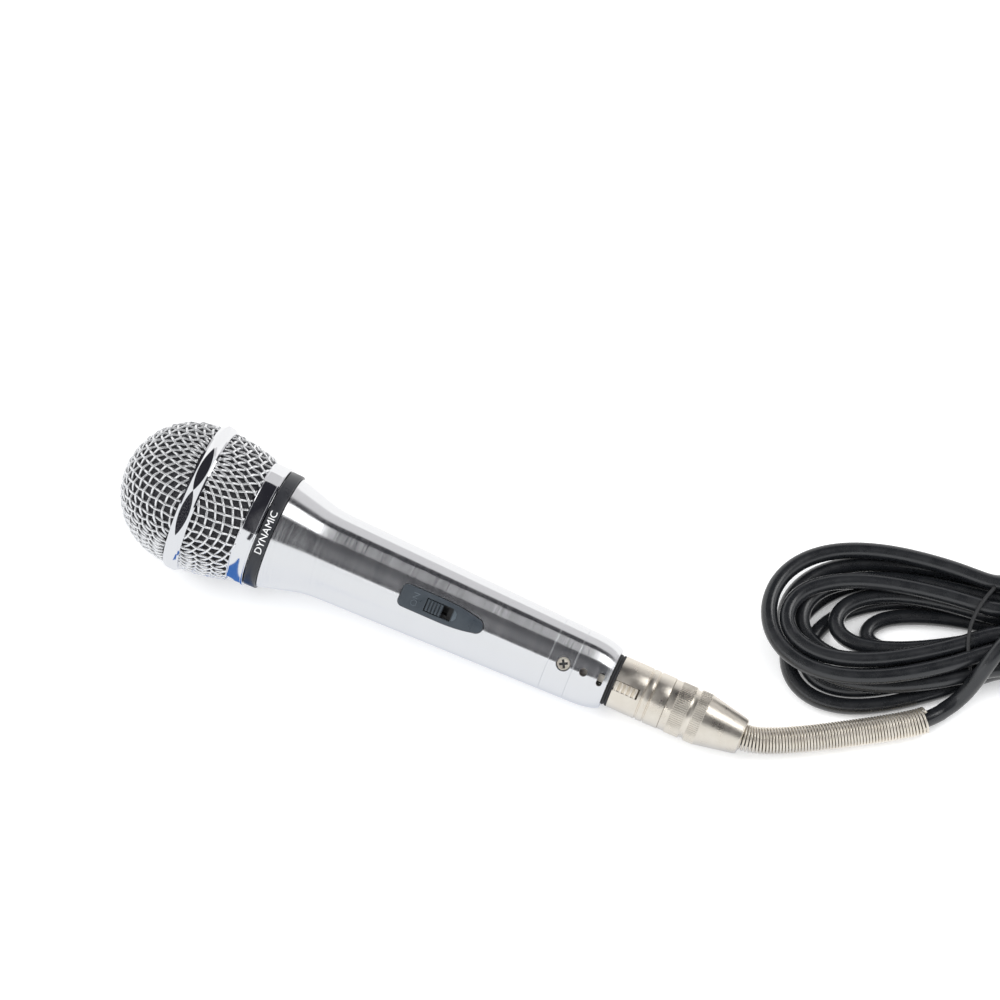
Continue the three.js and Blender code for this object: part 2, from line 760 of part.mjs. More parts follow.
function addBoot(parent) {
  addPiece(parent, 'connector_boot', boot(), nickel);
  const chuckStart = bootStart + gap;
  const chuckRadius = connectorRadius - bootWall - gap;
  const chuckEnd = chuckStart + chuckLength;
  const chuckTube = tubeRing(chuckStart, chuckEnd, chuckRadius, cableBoreRadius, sidesMedium);
  const split = block(chuckStart - gap, chuckStart + chuckLength * 0.7, -0.5, 0.5, 0, reach);
  addPiece(parent, 'cable_chuck', cut(chuckTube, [split]), blackPlastic);
}

// ---- cable ----
function circleShape(radius, sides, holeRadius = 0) {
  const corners = (r) => Array.from({ length: sides }, (_, i) => {
    const angle = (i / sides) * 2 * Math.PI;
    return new THREE.Vector2(r * Math.cos(angle), r * Math.sin(angle));
  });
  const shape = new THREE.Shape(corners(radius));
  if (holeRadius) {
    shape.holes.push(new THREE.Path(corners(holeRadius)));
  }
  return shape;
}

function floorPoint(origin, [along, across, height]) {
  const heading = THREE.MathUtils.degToRad(cableHeading);
  return new THREE.Vector3(
    origin.x + along * Math.cos(heading) - across * Math.sin(heading),
    origin.y + along * Math.sin(heading) + across * Math.cos(heading),
    height,
  );
}

// The stretch of a curve between two shares of its length, as a curve of its own.
function stretch(curve, from, to, count) {
  const shares = Array.from({ length: count + 1 }, (_, i) => from + (to - from) * (i / count));
  return new THREE.CatmullRomCurve3(shares.map((share) => curve.getPointAt(share)));
}

function tubeAlong(section, curve, steps) {
  return new THREE.ExtrudeGeometry(section, { steps, bevelEnabled: false, extrudePath: curve });
}

function runCurve(mic, origin) {
  const onAxis = [1 + gap, 8, 15, bootLength - springInBoot, bootLength - 4, bootLength]
    .map((along) => mic.localToWorld(new THREE.Vector3(bootStart + along, 0, 0)));
  return new THREE.CatmullRomCurve3([...onAxis, ...runPoints.map((point) => floorPoint(origin, point))]);
}

function addRun(parent, mic, origin) {
  const curve = runCurve(mic, origin);
  const steps = 40;
  const run = tubeAlong(circleShape(cableRadius, cableSides), stretch(curve, 0, 1, steps), steps);
  addPiece(parent, 'cord_run', run, blackRubber);
  const total = curve.getLength();
  const springFrom = (bootLength - springInBoot - 1 - gap) / total;
  const heading = THREE.MathUtils.degToRad(cableHeading);
  const alongHeading = (share) => {
    const offset = curve.getPointAt(share).sub(origin);
    return offset.x * Math.cos(heading) + offset.y * Math.sin(heading);
  };
  let springTo = springFrom;
  while (springTo < 1 && alongHeading(springTo) < springReach) {
    springTo += 0.001;
  }
  const section = circleShape(springRadius, cableSides, cableBoreRadius);
  const springSteps = 24;
  const path = stretch(curve, springFrom, Math.min(springTo, 1), springSteps);
  addPiece(parent, 'relief_spring', tubeAlong(section, path, springSteps), nickel);
}

function mirroredOutline(quarter) {
  const right = quarter.slice(0, -1);
  const half = [...right, quarter.at(-1), ...right.slice().reverse().map(([u, v]) => [-u, v])];
  const lower = half.slice(1, -1).reverse().map(([u, v]) => [u, -v]);
  return [...half, ...lower].map(([u, v]) => new THREE.Vector2(u, v));
}

function roundedBox(halfWidth, z0, z1, corner) {
  const shape = new THREE.Shape();
  shape.moveTo(halfWidth, z0 + corner);
  shape.lineTo(halfWidth, z1 - corner);
  shape.absarc(halfWidth - corner, z1 - corner, corner, 0, Math.PI / 2);
  shape.lineTo(-halfWidth + corner, z1);
  shape.absarc(-halfWidth + corner, z1 - corner, corner, Math.PI / 2, Math.PI);
  shape.lineTo(-halfWidth, z0 + corner);
  shape.absarc(-halfWidth + corner, z0 + corner, corner, Math.PI, 1.5 * Math.PI);
  shape.lineTo(halfWidth - corner, z0);
  shape.absarc(halfWidth - corner, z0 + corner, corner, 1.5 * Math.PI, 2 * Math.PI);
  return shape;
}

// Turns a shape drawn across (y, z) into a slab along x.
function acrossSlab(shape, halfLength) {
  const upright = new THREE.Matrix4().set(0, 0, 1, 0, 1, 0, 0, 0, 0, 1, 0, 0, 0, 0, 0, 1);
  return slab(shape, -halfLength, halfLength, 4).applyMatrix4(upright);
}

function addHank(parent, origin) {
  const group = new THREE.Group();
  group.rotation.z = THREE.MathUtils.degToRad(cableHeading);
  group.position.copy(floorPoint(origin, [...hankCentre, 0]));
  parent.add(group);
  const waist = hankQuarter.at(-1)[1];
  const outline = new THREE.Shape(new THREE.SplineCurve(mirroredOutline(hankQuarter).concat(
    new THREE.Vector2(...hankQuarter[0]),
  )).getPoints(48).slice(0, -1));
  const grooveHalf = tieWidth / 2 + gap;
  const coreInset = tieThickness + gap;
  const core = acrossSlab(
    roundedBox(waist - coreInset, coreInset, hankHeight - coreInset, tieCorner - coreInset), grooveHalf + 1,
  );
  const grooveBlank = block(-grooveHalf, grooveHalf, -reach, reach, -1, hankHeight + 1);
  addPiece(group, 'cord_hank', cut(slab(outline, 0, hankHeight), [cut(grooveBlank, [core])]), blackRubber);

  const tie = roundedBox(waist, 0, hankHeight, tieCorner);
  const innerTop = hankHeight - tieThickness;
  tie.holes.push(roundedBox(waist - tieThickness, tieThickness, innerTop, tieCorner - tieThickness));
  addPiece(group, 'cable_tie', acrossSlab(tie, tieWidth / 2), blackPlastic);
}

function addTailCord(parent, origin) {
  const curve = new THREE.CatmullRomCurve3(tailPoints.map((point) => floorPoint(origin, point)));
  addPiece(parent, 'cord_tail', tubeAlong(circleShape(cableRadius, cableSides), curve, 20), blackRubber);
}

// ---- jack plug on the far end ----
function addJack(parent, origin) {
  const group = new THREE.Group();
  group.rotation.z = THREE.MathUtils.degToRad(cableHeading + 180);
  group.position.copy(floorPoint(origin, [...jackStart, jackBarrel.radius]));
  parent.add(group);

  const barrelStart = jackRelief.length + gap;
  const barrelEnd = barrelStart + jackBarrel.length;
  const sleeveEnd = barrelEnd + jackSleeveLength;
  const insulatorStart = sleeveEnd + gap;
  const tipStart = insulatorStart + jackInsulatorLength + gap;
  const tipEnd = tipStart + jackTipLength;
  const flangeRadius = jackBarrel.radius - jackBarrel.wall - gap;
  const flangeEnd = barrelEnd - jackBarrel.wall - gap;

  addPiece(group, 'jack_relief', turned(
    [[0, jackRelief.startRadius], [jackRelief.length, jackRelief.endRadius]],
    [[0, cableBoreRadius], [jackRelief.length, cableBoreRadius]],
    sidesMedium,
  ), blackRubber);
  const barrelBore = jackBarrel.radius - jackBarrel.wall;
  addPiece(group, 'jack_barrel', turned(
    [[barrelStart, jackBarrel.radius - 0.6], [barrelStart + 0.8, jackBarrel.radius],
      [barrelEnd - 2, jackBarrel.radius], [barrelEnd, jackBarrel.radius - 1.2]],
    [[barrelStart, barrelBore - 1], [barrelEnd - jackBarrel.wall, barrelBore - 1],
      [barrelEnd - jackBarrel.wall, jackContactRadius + gap], [barrelEnd, jackContactRadius + gap]],
    sidesLarge,
  ), nickel);
  addPiece(group, 'jack_sleeve', turned(
    [[flangeEnd - 3, flangeRadius - 1], [flangeEnd, flangeRadius - 1],
      [flangeEnd, jackContactRadius], [sleeveEnd, jackContactRadius]],
    [[flangeEnd - 3, jackRodRadius + gap], [sleeveEnd, jackRodRadius + gap]],
    sidesMedium,
  ), nickel);
  const insulatorEnd = insulatorStart + jackInsulatorLength;
  addPiece(group, 'jack_insulator', tubeRing(
    insulatorStart, insulatorEnd, jackContactRadius, jackRodRadius + gap, sidesMedium,
  ), blackPlastic);
  addPiece(group, 'jack_tip', turned([
    [flangeEnd - 5, 0], [flangeEnd - 5, jackRodRadius], [tipStart, jackRodRadius],
    [tipStart, jackContactRadius], [tipStart + 1, jackContactRadius],
    [tipStart + 2.3, jackContactRadius * 0.72], [tipStart + 4, jackContactRadius],
    [tipEnd - 0.6, 0.9], [tipEnd, 0],
  ], [], sidesMedium), nickel);
}

// ---- the assembly ----
// The band's lowest flat and the back nut's rear edge stand at one height.
function restTilt() {
  const frontStation = (bandStart + bandEnd + bandFlatWidth) / 2;
  const rearStation = bootStart + bootConeStart;
  return Math.atan((bandApothem - connectorRadius) / (rearStation - frontStation));
}

function microphone() {
  const mic = new THREE.Group();
  mic.rotation.y = restTilt();
  const featureLine = new THREE.Group();
  featureLine.rotation.x = THREE.MathUtils.degToRad(featureAngle);
  featureLine.updateMatrix();
  mic.add(featureLine);

  addGrille(mic);
  addPiece(mic, 'trim_ring', tubeRing(trimStart, trimEnd, trimRadius, neckRadius + gap), blackPlastic);
  addPiece(mic, 'handle', handle(featureLine), chrome);
  addCapsule(mic);
  addSwitch(featureLine);
  addTail(featureLine);
  addWires(featureLine);
  addConnector(featureLine);
  addPiece(featureLine, 'connector_latch', latch(), nickel);
  addBoot(mic);
  return mic;
}

// Moves the microphone so that its box stands on the table, centred on the origin.
function standOnOrigin(mic) {
  mic.updateMatrixWorld(true);
  const box = new THREE.Box3().setFromObject(mic, true);
  const centre = box.getCenter(new THREE.Vector3());
  mic.position.set(-centre.x, -centre.y, -box.min.z);
  mic.updateMatrixWorld(true);
}

const assembly = new THREE.Group();
const mic = microphone();
standOnOrigin(mic);
assembly.add(mic);

const bootTip = mic.localToWorld(new THREE.Vector3(bootEnd, 0, 0));
addRun(assembly, mic, bootTip);
addHank(assembly, bootTip);
addTailCord(assembly, bootTip);
addJack(assembly, bootTip);

export default assembly;
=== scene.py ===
import bpy, bmesh, json, math
from mathutils import Matrix, Vector
from mathutils.kdtree import KDTree

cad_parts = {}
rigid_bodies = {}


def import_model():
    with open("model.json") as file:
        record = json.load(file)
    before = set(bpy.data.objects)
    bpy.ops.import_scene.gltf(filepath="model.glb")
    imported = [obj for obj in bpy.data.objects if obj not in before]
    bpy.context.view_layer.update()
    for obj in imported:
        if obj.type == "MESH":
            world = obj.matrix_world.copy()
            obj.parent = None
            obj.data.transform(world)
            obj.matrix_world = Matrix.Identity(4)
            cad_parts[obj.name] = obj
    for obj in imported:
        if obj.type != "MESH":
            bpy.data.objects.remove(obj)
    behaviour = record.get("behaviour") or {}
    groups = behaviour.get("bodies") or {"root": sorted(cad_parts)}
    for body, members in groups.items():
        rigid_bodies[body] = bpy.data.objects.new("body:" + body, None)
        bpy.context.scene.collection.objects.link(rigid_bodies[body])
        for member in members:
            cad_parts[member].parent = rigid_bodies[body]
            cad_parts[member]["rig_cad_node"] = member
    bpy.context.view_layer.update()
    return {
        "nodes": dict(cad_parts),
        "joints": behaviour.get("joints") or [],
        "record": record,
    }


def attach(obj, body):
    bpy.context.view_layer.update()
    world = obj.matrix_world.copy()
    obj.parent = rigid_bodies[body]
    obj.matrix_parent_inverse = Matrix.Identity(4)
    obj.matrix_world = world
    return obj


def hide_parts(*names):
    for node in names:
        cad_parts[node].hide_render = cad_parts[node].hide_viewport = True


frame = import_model()

# The microphone's own space: millimetres, x along its axis from the tip of the grille
mm = 0.001
pullAxis = Vector(next(j["axis"] for j in frame["joints"] if j["name"] == "connector_pull"))
restMount = next(m for m in frame["record"]["mounts"] if m["name"] == "rest_flat")
restStation, restDepth = 27.75, 27 * math.cos(math.radians(18))
turnMic = Matrix.Rotation(math.atan2(-pullAxis.z, pullAxis.x), 4, "Y")
micOrigin = Vector(restMount["pos_m"]) - turnMic @ Vector((restStation, 0, -restDepth)) * mm
micSpace = Matrix.Translation(micOrigin) @ turnMic @ Matrix.Scale(mm, 4)
featureAngle = math.radians(29)  # the switch, the screw and the latch share one line
featureSpace = micSpace @ Matrix.Rotation(featureAngle, 4, "X")

stations = {
    "bandStart": 25.0, "bandEnd": 30.5, "basketStart": 30.8,
    "collarStart": 46.7, "collarEnd": 52.4, "trimStart": 52.7, "trimEnd": 56.7,
    "handleStart": 57.0, "handleEnd": 178.4, "sealStart": 178.7, "sealEnd": 180.2,
    "shellStart": 180.5, "shellEnd": 198.6, "bootStart": 198.9, "bootEnd": 226.4,
}
bootTip = micSpace @ Vector((stations["bootEnd"], 0, 0))


# Camera, before the cords
camera = {"heading": 23.6, "elevation": 66.0, "lens": 180.0, "sensor": 36.0, "viewWidth": 333.3333,
          "nutRight": 80.8667, "nutDown": 79.0}  # the end of the back nut, from the middle of the view


def newObject(name, data):
    made = bpy.data.objects.new(name, data)
    bpy.context.scene.collection.objects.link(made)
    return made


def makeCamera(c):
    a, e = math.radians(c["heading"]), math.radians(c["elevation"])
    right = Vector((math.cos(a), math.sin(a), 0))
    back = Vector((math.sin(a) * math.cos(e), -math.cos(a) * math.cos(e), math.sin(e)))
    up = back.cross(right)
    target = bootTip - (right * c["nutRight"] - up * c["nutDown"]) * mm
    distance = c["lens"] / c["sensor"] * c["viewWidth"] * mm
    data = bpy.data.cameras.new("camera")
    data.lens, data.sensor_width = c["lens"], c["sensor"]
    data.clip_start, data.clip_end = 0.05, 20
    cam = newObject("camera", data)
    turned = Matrix((right, up, back)).transposed().to_4x4()
    cam.matrix_world = Matrix.Translation(target + back * distance) @ turned
    bpy.context.scene.camera = cam


makeCamera(camera)
print("camera placed")


# Materials
def setRamp(node, stops):
    first, last = node.color_ramp.elements
    first.position, first.color = stops[0][0], (*stops[0][1], 1)
    last.position, last.color = stops[-1][0], (*stops[-1][1], 1)
    for position, color in stops[1:-1]:
        node.color_ramp.elements.new(position).color = (*color, 1)


class Finish:
    # a material with its shader and short ways to add nodes
    def __init__(self, name, color, metallic=0.0, roughness=0.5, **sockets):
        self.material = bpy.data.materials.new(name)
        self.material.use_nodes = True
        self.tree = self.material.node_tree
        self.shader = self.tree.nodes["Principled BSDF"]
        self.shader.inputs["Base Color"].default_value = (*color, 1)
        self.shader.inputs["Metallic"].default_value = metallic
        self.shader.inputs["Roughness"].default_value = roughness
        for socket, value in sockets.items():
            self.shader.inputs[socket.replace("_", " ")].default_value = value

    def add(self, kind, **settings):
        node = self.tree.nodes.new(kind)
        for key, value in settings.items():
            if key in node.inputs:
                node.inputs[key].default_value = value
            else:
                setattr(node, key, value)
        return node

    def link(self, source, target):
        self.tree.links.new(source, target)

    def place(self, matrix=None, scale=(1, 1, 1)):
        # Object coordinates, turned into a piece's own space
        coordinates = self.add("ShaderNodeTexCoord")
        mapping = self.add("ShaderNodeMapping")
        if matrix is not None:
            inverse = matrix.to_3x3().normalized().to_4x4().inverted()
            mapping.inputs["Rotation"].default_value = inverse.to_euler()
        mapping.inputs["Scale"].default_value = scale
        self.link(coordinates.outputs["Object"], mapping.inputs["Vector"])
        return mapping.outputs["Vector"]

    def noise(self, vector, scale, detail=3.0, roughness=0.5):
        node = self.add("ShaderNodeTexNoise", Scale=scale, Detail=detail, Roughness=roughness)
        self.link(vector, node.inputs["Vector"])
        return node.outputs["Fac"]

    def ramp(self, value, stops):
        node = self.add("ShaderNodeValToRGB")
        setRamp(node, stops)
        self.link(value, node.inputs["Fac"])
        return node.outputs["Color"]

    def spread(self, value, low, high, start=0.3, end=0.7):
        limits = {"From Min": start, "From Max": end, "To Min": low, "To Max": high}
        node = self.add("ShaderNodeMapRange", **limits)
        self.link(value, node.inputs["Value"])
        return node.outputs["Result"]

    def bump(self, height, strength, distance):
        node = self.add("ShaderNodeBump", Strength=strength, Distance=distance)
        self.link(height, node.inputs["Height"])
        return node.outputs["Normal"]

    def set(self, socket, output):
        self.link(output, self.shader.inputs[socket])


def chromeFinish(name, lathe):
    # polished plating; the marks of turning run round the axis, so they spread light along it
    f = Finish(name, (0.89, 0.895, 0.91), 1.0, 0.08 + 0.2 * lathe, Anisotropic=0.98 * lathe)
    hair = f.noise(f.place(micSpace, (1, 0.02, 0.02)), 2500, 2, 0.55)
    smudge = f.noise(f.place(), 45, 4, 0.6)
    roughness = f.add("ShaderNodeMath", operation="ADD")
    f.link(f.spread(hair, 0.07 + 0.08 * lathe, 0.07 + 0.175 * lathe, 0.33, 0.67), roughness.inputs[0])
    f.link(f.spread(smudge, 0.0, 0.03), roughness.inputs[1])
    f.set("Roughness", roughness.outputs[0])
    if lathe:
        grain = f.add("ShaderNodeCombineXYZ")
        for socket, value in zip(grain.inputs, micSpace.col[0].xyz.normalized()):
            socket.default_value = value
        f.set("Tangent", grain.outputs["Vector"])
    return f.material


def wireFinish():
    f = Finish("grilleWire", (0.92, 0.925, 0.935), 0.8, 0.2)
    grain = f.noise(f.place(), 900, 3)
    f.set("Roughness", f.spread(grain, 0.16, 0.3))
    f.set("Base Color", f.ramp(grain, [(0.3, (0.84, 0.845, 0.855)), (0.7, (0.98, 0.98, 0.985))]))
    return f.material


def nickelFinish(name="nickel", sand=1.0, matt=0.0, metallic=1.0):
    f = Finish(name, (0.88, 0.82, 0.72), metallic, 0.3)
    vector = f.place()
    grain = f.noise(vector, 1900, 3, 0.75)
    cloud = f.noise(vector, 130, 4, 0.6)
    f.set("Base Color", f.ramp(cloud, [(0.3, (0.84, 0.775, 0.675)), (0.7, (0.94, 0.885, 0.79))]))
    f.set("Roughness", f.spread(cloud, 0.24 + matt, 0.38 + matt))
    f.set("Normal", f.bump(grain, 0.34 * sand, 0.0001))
    return f.material


def plasticFinish(name, color, rough, grainSize=3000, grainDepth=0.00003, gloss=0.5):
    f = Finish(name, color, 0.0, rough, IOR=1.48)
    f.shader.inputs["Specular IOR Level"].default_value = gloss
    vector = f.place()
    grain = f.noise(vector, grainSize, 2, 0.6)
    wear = f.noise(vector, 160, 4, 0.6)
    lighter = tuple(min(1, c * 1.3 + 0.001) for c in color)
    f.set("Base Color", f.ramp(wear, [(0.35, color), (0.75, lighter)]))
    f.set("Roughness", f.spread(wear, rough - 0.06, rough + 0.08))
    f.set("Normal", f.bump(grain, 0.35, grainDepth))
    return f.material


def foamFinish():
    f = Finish("openCellFoam", (0.035, 0.035, 0.04), 0.0, 0.95)
    vector = f.place()
    cells = f.add("ShaderNodeTexVoronoi", Scale=1700)
    f.link(vector, cells.inputs["Vector"])
    # darker where the cells dip: painted shade in the pits of the foam
    f.set("Base Color", f.ramp(cells.outputs["Distance"],
                               [(0.1, (0.006, 0.006, 0.008)), (0.6, (0.05, 0.05, 0.056))]))
    f.set("Normal", f.bump(cells.outputs["Distance"], 0.8, 0.0004))
    return f.material


def copperFinish():
    f = Finish("lacqueredCopper", (0.72, 0.38, 0.2), 1.0, 0.3)
    grain = f.noise(f.place(), 1400, 3)
    f.set("Base Color", f.ramp(grain, [(0.3, (0.6, 0.29, 0.15)), (0.7, (0.82, 0.47, 0.27))]))
    f.set("Roughness", f.spread(grain, 0.25, 0.45))
    return f.material


def floorFinish(color):
    f = Finish("studioFloor", color, 0.0, 0.6)
    grain = f.noise(f.place(), 40, 4)
    f.set("Roughness", f.spread(grain, 0.5, 0.7))
    return f.material


finishes = {
    "chrome": chromeFinish("turnedChrome", 1.0),
    "chromeClean": chromeFinish("mirrorChrome", 0.0),
    "wire": wireFinish(),
    "nickel": nickelFinish(),
    "springNickel": nickelFinish("springNickel", 0.25, 0.02, 0.9),
    "trim": plasticFinish("trimBlack", (0.022, 0.023, 0.027), 0.3),
    "switchBlack": plasticFinish("switchBlack", (0.036, 0.045, 0.055), 0.31, 2200, 0.00005),
    # lighter than the plate: the marks' own tone, and on the off mark's bulge a painted sheen
    "switchMarkAndSheen": plasticFinish("switchMarkAndSheen", (0.07, 0.085, 0.1), 0.25),
    "innerBlack": plasticFinish("innerBlack", (0.02, 0.02, 0.022), 0.5),
    "rubber": plasticFinish("softRubber", (0.018, 0.018, 0.02), 0.6, 1500, 0.00006),
    "jacket": plasticFinish("cableJacket", (0.008, 0.009, 0.011), 0.27, 1300, 0.00001, 1.0),
    "tie": plasticFinish("tieSleeve", (0.02, 0.02, 0.021), 0.5),
    "foam": foamFinish(),
    "steel": nickelFinish("capsuleSteel", 0.6),
    "copper": copperFinish(),
    "film": plasticFinish("diaphragmFilm", (0.45, 0.36, 0.2), 0.25),
    "print": plasticFinish("printedWhite", (0.8, 0.8, 0.8), 0.5),
}
print("materials made")


# Making and finishing pieces
def bmObject(bm, name="cutter"):
    mesh = bpy.data.meshes.new(name)
    bm.to_mesh(mesh)
    bm.free()
    return newObject(name, mesh)


def finishPiece(bm, name, body, finish, space=micSpace, replaced=(), smooth=32):
    # puts a bmesh in its place and makes it a piece that rides on a body
    bmesh.ops.transform(bm, matrix=space, verts=bm.verts)
    piece = bmObject(bm, name)
    piece.data.materials.append(finishes[finish])
    piece.data.shade_smooth()
    if smooth:
        piece.data.set_sharp_from_angle(angle=math.radians(smooth))
    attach(piece, body)
    if replaced:
        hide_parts(*replaced)


def turned(profile, steps=128, closed=True):
    # a profile of (station, radius) points, spun about the x axis
    bm = bmesh.new()
    verts = [bm.verts.new((station, 0, radius)) for station, radius in profile]
    pairs = list(zip(verts, verts[1:])) + ([(verts[-1], verts[0])] if closed else [])
    edges = [bm.edges.new(pair) for pair in pairs]
    bmesh.ops.spin(bm, geom=verts + edges, cent=(0, 0, 0), axis=(1, 0, 0), dvec=(0, 0, 0),
                   angle=2 * math.pi, steps=steps, use_merge=True, use_duplicate=False)
    bmesh.ops.remove_doubles(bm, verts=bm.verts, dist=1e-5)
    bmesh.ops.recalc_face_normals(bm, faces=bm.faces)
    return bm


def bevelSharp(bm, offset, angle=35, segments=2):
    sharp = [e for e in bm.edges if len(e.link_faces) == 2 and e.calc_face_angle(0) > math.radians(angle)]
    bmesh.ops.bevel(bm, geom=sharp, offset=offset, offset_type="OFFSET", segments=segments,
                    profile=0.5, affect="EDGES", material=-1, clamp_overlap=True)
    return bm


def outlineSlab(points, z0, z1):
    # an outline in x and y, extruded from z0 to z1
    bm = bmesh.new()
    face = bm.faces.new([bm.verts.new((x, y, z0)) for x, y in points])
    grown = bmesh.ops.extrude_face_region(bm, geom=[face])["geom"]
    top = [v for v in grown if isinstance(v, bmesh.types.BMVert)]
    bmesh.ops.translate(bm, vec=(0, 0, z1 - z0), verts=top)
    bmesh.ops.recalc_face_normals(bm, faces=bm.faces)
    return bm


def arc(cx, cy, radius, start, end, steps):
    angles = [math.radians(start + (end - start) * i / steps) for i in range(steps + 1)]
    return [(cx + radius * math.cos(a), cy + radius * math.sin(a)) for a in angles]


def boxBm(x0, x1, y0, y1, z0, z1):
    bm = bmesh.new()
    size = Matrix.Diagonal((x1 - x0, y1 - y0, z1 - z0, 1))
    place = Matrix.Translation(((x0 + x1) / 2, (y0 + y1) / 2, (z0 + z1) / 2))
    bmesh.ops.create_cube(bm, size=1, matrix=place @ size)
    return bm


def postBm(x, y, radius, z0, z1, segments=48):
    bm = bmesh.new()
    bmesh.ops.create_cone(bm, cap_ends=True, segments=segments, radius1=radius, radius2=radius,
                          depth=z1 - z0, matrix=Matrix.Translation((x, y, (z0 + z1) / 2)))
    return bm


def evaluatedBm(holder):
    # the mesh that a curve or a modifier makes, as a bmesh
    evaluated = holder.evaluated_get(bpy.context.evaluated_depsgraph_get())
    bm = bmesh.new()
    bm.from_mesh(evaluated.to_mesh())
    evaluated.to_mesh_clear()
    return bm


def curveBm(data, merge):
    # turns a curve into a bmesh and throws the curve away
    holder = newObject("curve", data)
    bm = evaluatedBm(holder)
    bpy.data.objects.remove(holder)
    bpy.data.curves.remove(data)
    bmesh.ops.remove_doubles(bm, verts=bm.verts, dist=merge)
    return bm


def cutBm(bm, cutters, operation="DIFFERENCE"):
    # boolean cuts or joins, given back as a bmesh
    base = bmObject(bm, "base")
    others = [bmObject(cutter) for cutter in cutters]
    for other in others:
        modifier = base.modifiers.new("cut", "BOOLEAN")
        modifier.object, modifier.operation, modifier.solver = other, operation, "EXACT"
    result = evaluatedBm(base)
    for made in [base, *others]:
        mesh = made.data
        bpy.data.objects.remove(made)
        bpy.data.meshes.remove(mesh)
    return result


def wiresBm(lines, radius, sides=1, cyclic=False):
    # round wires along lists of points, in one bmesh
    data = bpy.data.curves.new("wires", "CURVE")
    data.dimensions = "3D"
    data.bevel_depth, data.bevel_resolution, data.use_fill_caps = radius, sides, True
    for line in lines:
        spline = data.splines.new("POLY")
        spline.points.add(len(line) - 1)
        for point, place in zip(spline.points, line):
            point.co = (*place, 1)
        spline.use_cyclic_u = cyclic
    bm = curveBm(data, radius * 1e-3)
    bmesh.ops.recalc_face_normals(bm, faces=bm.faces)
    return bm


letterSize = 1.39  # of the font, for capitals one high


def lettersBm(text, height, relief, width=None):
    # raised letters, upright in x and y about their middle
    data = bpy.data.curves.new("letters", "FONT")
    data.body, data.size, data.extrude, data.resolution_u = text, height * letterSize, relief / 2, 3
    data.align_x, data.align_y = "CENTER", "CENTER"
    bm = curveBm(data, 1e-4)
    xs, ys = [v.co.x for v in bm.verts], [v.co.y for v in bm.verts]
    middle = Vector(((min(xs) + max(xs)) / 2, (min(ys) + max(ys)) / 2, 0))
    stretch = width / (max(xs) - min(xs)) if width else 1
    for vert in bm.verts:
        vert.co = Vector(((vert.co.x - middle.x) * stretch, vert.co.y - middle.y, vert.co.z))
    return bm


# Woven grille
# A square net laid on a ball: every side of every cell keeps the wires' pitch,
# so the cells shear into zigzags between the four directions in which they stay square.
net = {"ballRadius": 23.9, "pitch": 3.0, "wire": 0.44, "wave": 0.38, "reach": 17,
       "edge": 0.35, "domeTurn": 37.0, "basketTurn": 41.0}


def ballNet(c):
    # points of one quarter, by mirroring each known corner across the plane of its neighbours
    step = c["pitch"] / c["ballRadius"]
    points = {(0, 0): Vector((-1, 0, 0))}
    for i in range(1, c["reach"] + 1):
        points[(i, 0)] = Vector((-math.cos(i * step), math.sin(i * step), 0))
        points[(0, i)] = Vector((-math.cos(i * step), 0, math.sin(i * step)))
    for i in range(1, c["reach"] + 1):
        for j in range(1, c["reach"] + 1):
            a, b, corner = points.get((i - 1, j)), points.get((i, j - 1)), points.get((i - 1, j - 1))
            if a is None or b is None or corner is None or max(a.x, b.x) > c["edge"]:
                continue
            normal = a.cross(b).normalized()
            points[(i, j)] = corner - 2 * corner.dot(normal) * normal
    whole = {}
    for (i, j), p in points.items():
        for si in (1, -1):
            for sj in (1, -1):
                whole[(i * si, j * sj)] = Vector((p.x, p.y * si, p.z * sj))
    return whole


def netWires(c, lay):
    # wires over and under each other; lay turns a direction and a height into a place
    whole = ballNet(c)
    lines = []
    for across in (False, True):
        for fixed in range(-c["reach"], c["reach"] + 1):
            line = []
            for step in range(-c["reach"], c["reach"] + 1):
                key = (step, fixed) if across else (fixed, step)
                if key not in whole:
                    continue
                side = 1 if (step + fixed) % 2 == 0 else -1
                line.append((whole[key], side if across else -side))
            lines.append(line)
    for line in lines:
        run = []
        for (a, sideA), (b, _) in zip(line, line[1:]):
            for part in (0, 0.25, 0.5, 0.75):
                direction = a.lerp(b, part).normalized()
                run.append((direction, sideA * math.cos(math.pi * part)))
        yield from keptRuns([lay(direction, height * c["wave"]) for direction, height in run])


def keptRuns(places):
    # splits a line where the lay function left it out
    run = []
    for place in places + [None]:
        if place is not None:
            run.append(place)
            continue
        if len(run) > 3:
            yield run
        run = []


def turnAbout(direction, degrees):
    return Matrix.Rotation(math.radians(degrees), 3, "X") @ direction


domeCentre = 24.7


def layOnDome(direction, height):
    if direction.x > 0.015:
        return None
    d = turnAbout(direction, net["domeTurn"])
    return Vector((domeCentre, 0, 0)) + d * (net["ballRadius"] + height)


basket = {"length": 15.6, "startRadius": 23.9, "endRadius": 21.0, "fall": 1.8, "fromPolar": 52.0}


def layOnBasket(direction, height):
    # the rear cup's mesh, between the band and the collar
    polar = math.degrees(math.acos(max(-1, min(1, -direction.x))))
    t = (90 - polar) / (90 - basket["fromPolar"])
    if t < -0.08 or t > 1.04:
        return None
    slide = max(0, t)
    radius = basket["startRadius"] - (basket["startRadius"] - basket["endRadius"]) * slide ** basket["fall"]
    d = turnAbout(Vector((0, direction.y, direction.z)).normalized(), net["basketTurn"])
    return Vector((stations["basketStart"] + t * basket["length"], 0, 0)) + d * (radius + height)


def makeGrille():
    finishPiece(wiresBm(netWires(net, layOnDome), net["wire"]), "grille_dome_mesh", "grille",
                "wire", replaced=["grille_dome"], smooth=0)
    finishPiece(wiresBm(netWires(net, layOnBasket), net["wire"]), "grille_basket_mesh", "grille",
                "wire", replaced=["grille_basket"], smooth=0)


foamShape = {"inset": 1.75, "thickness": 2.0, "steps": 18, "front": 24.7, "rear": 21.7, "rearSteps": 5}


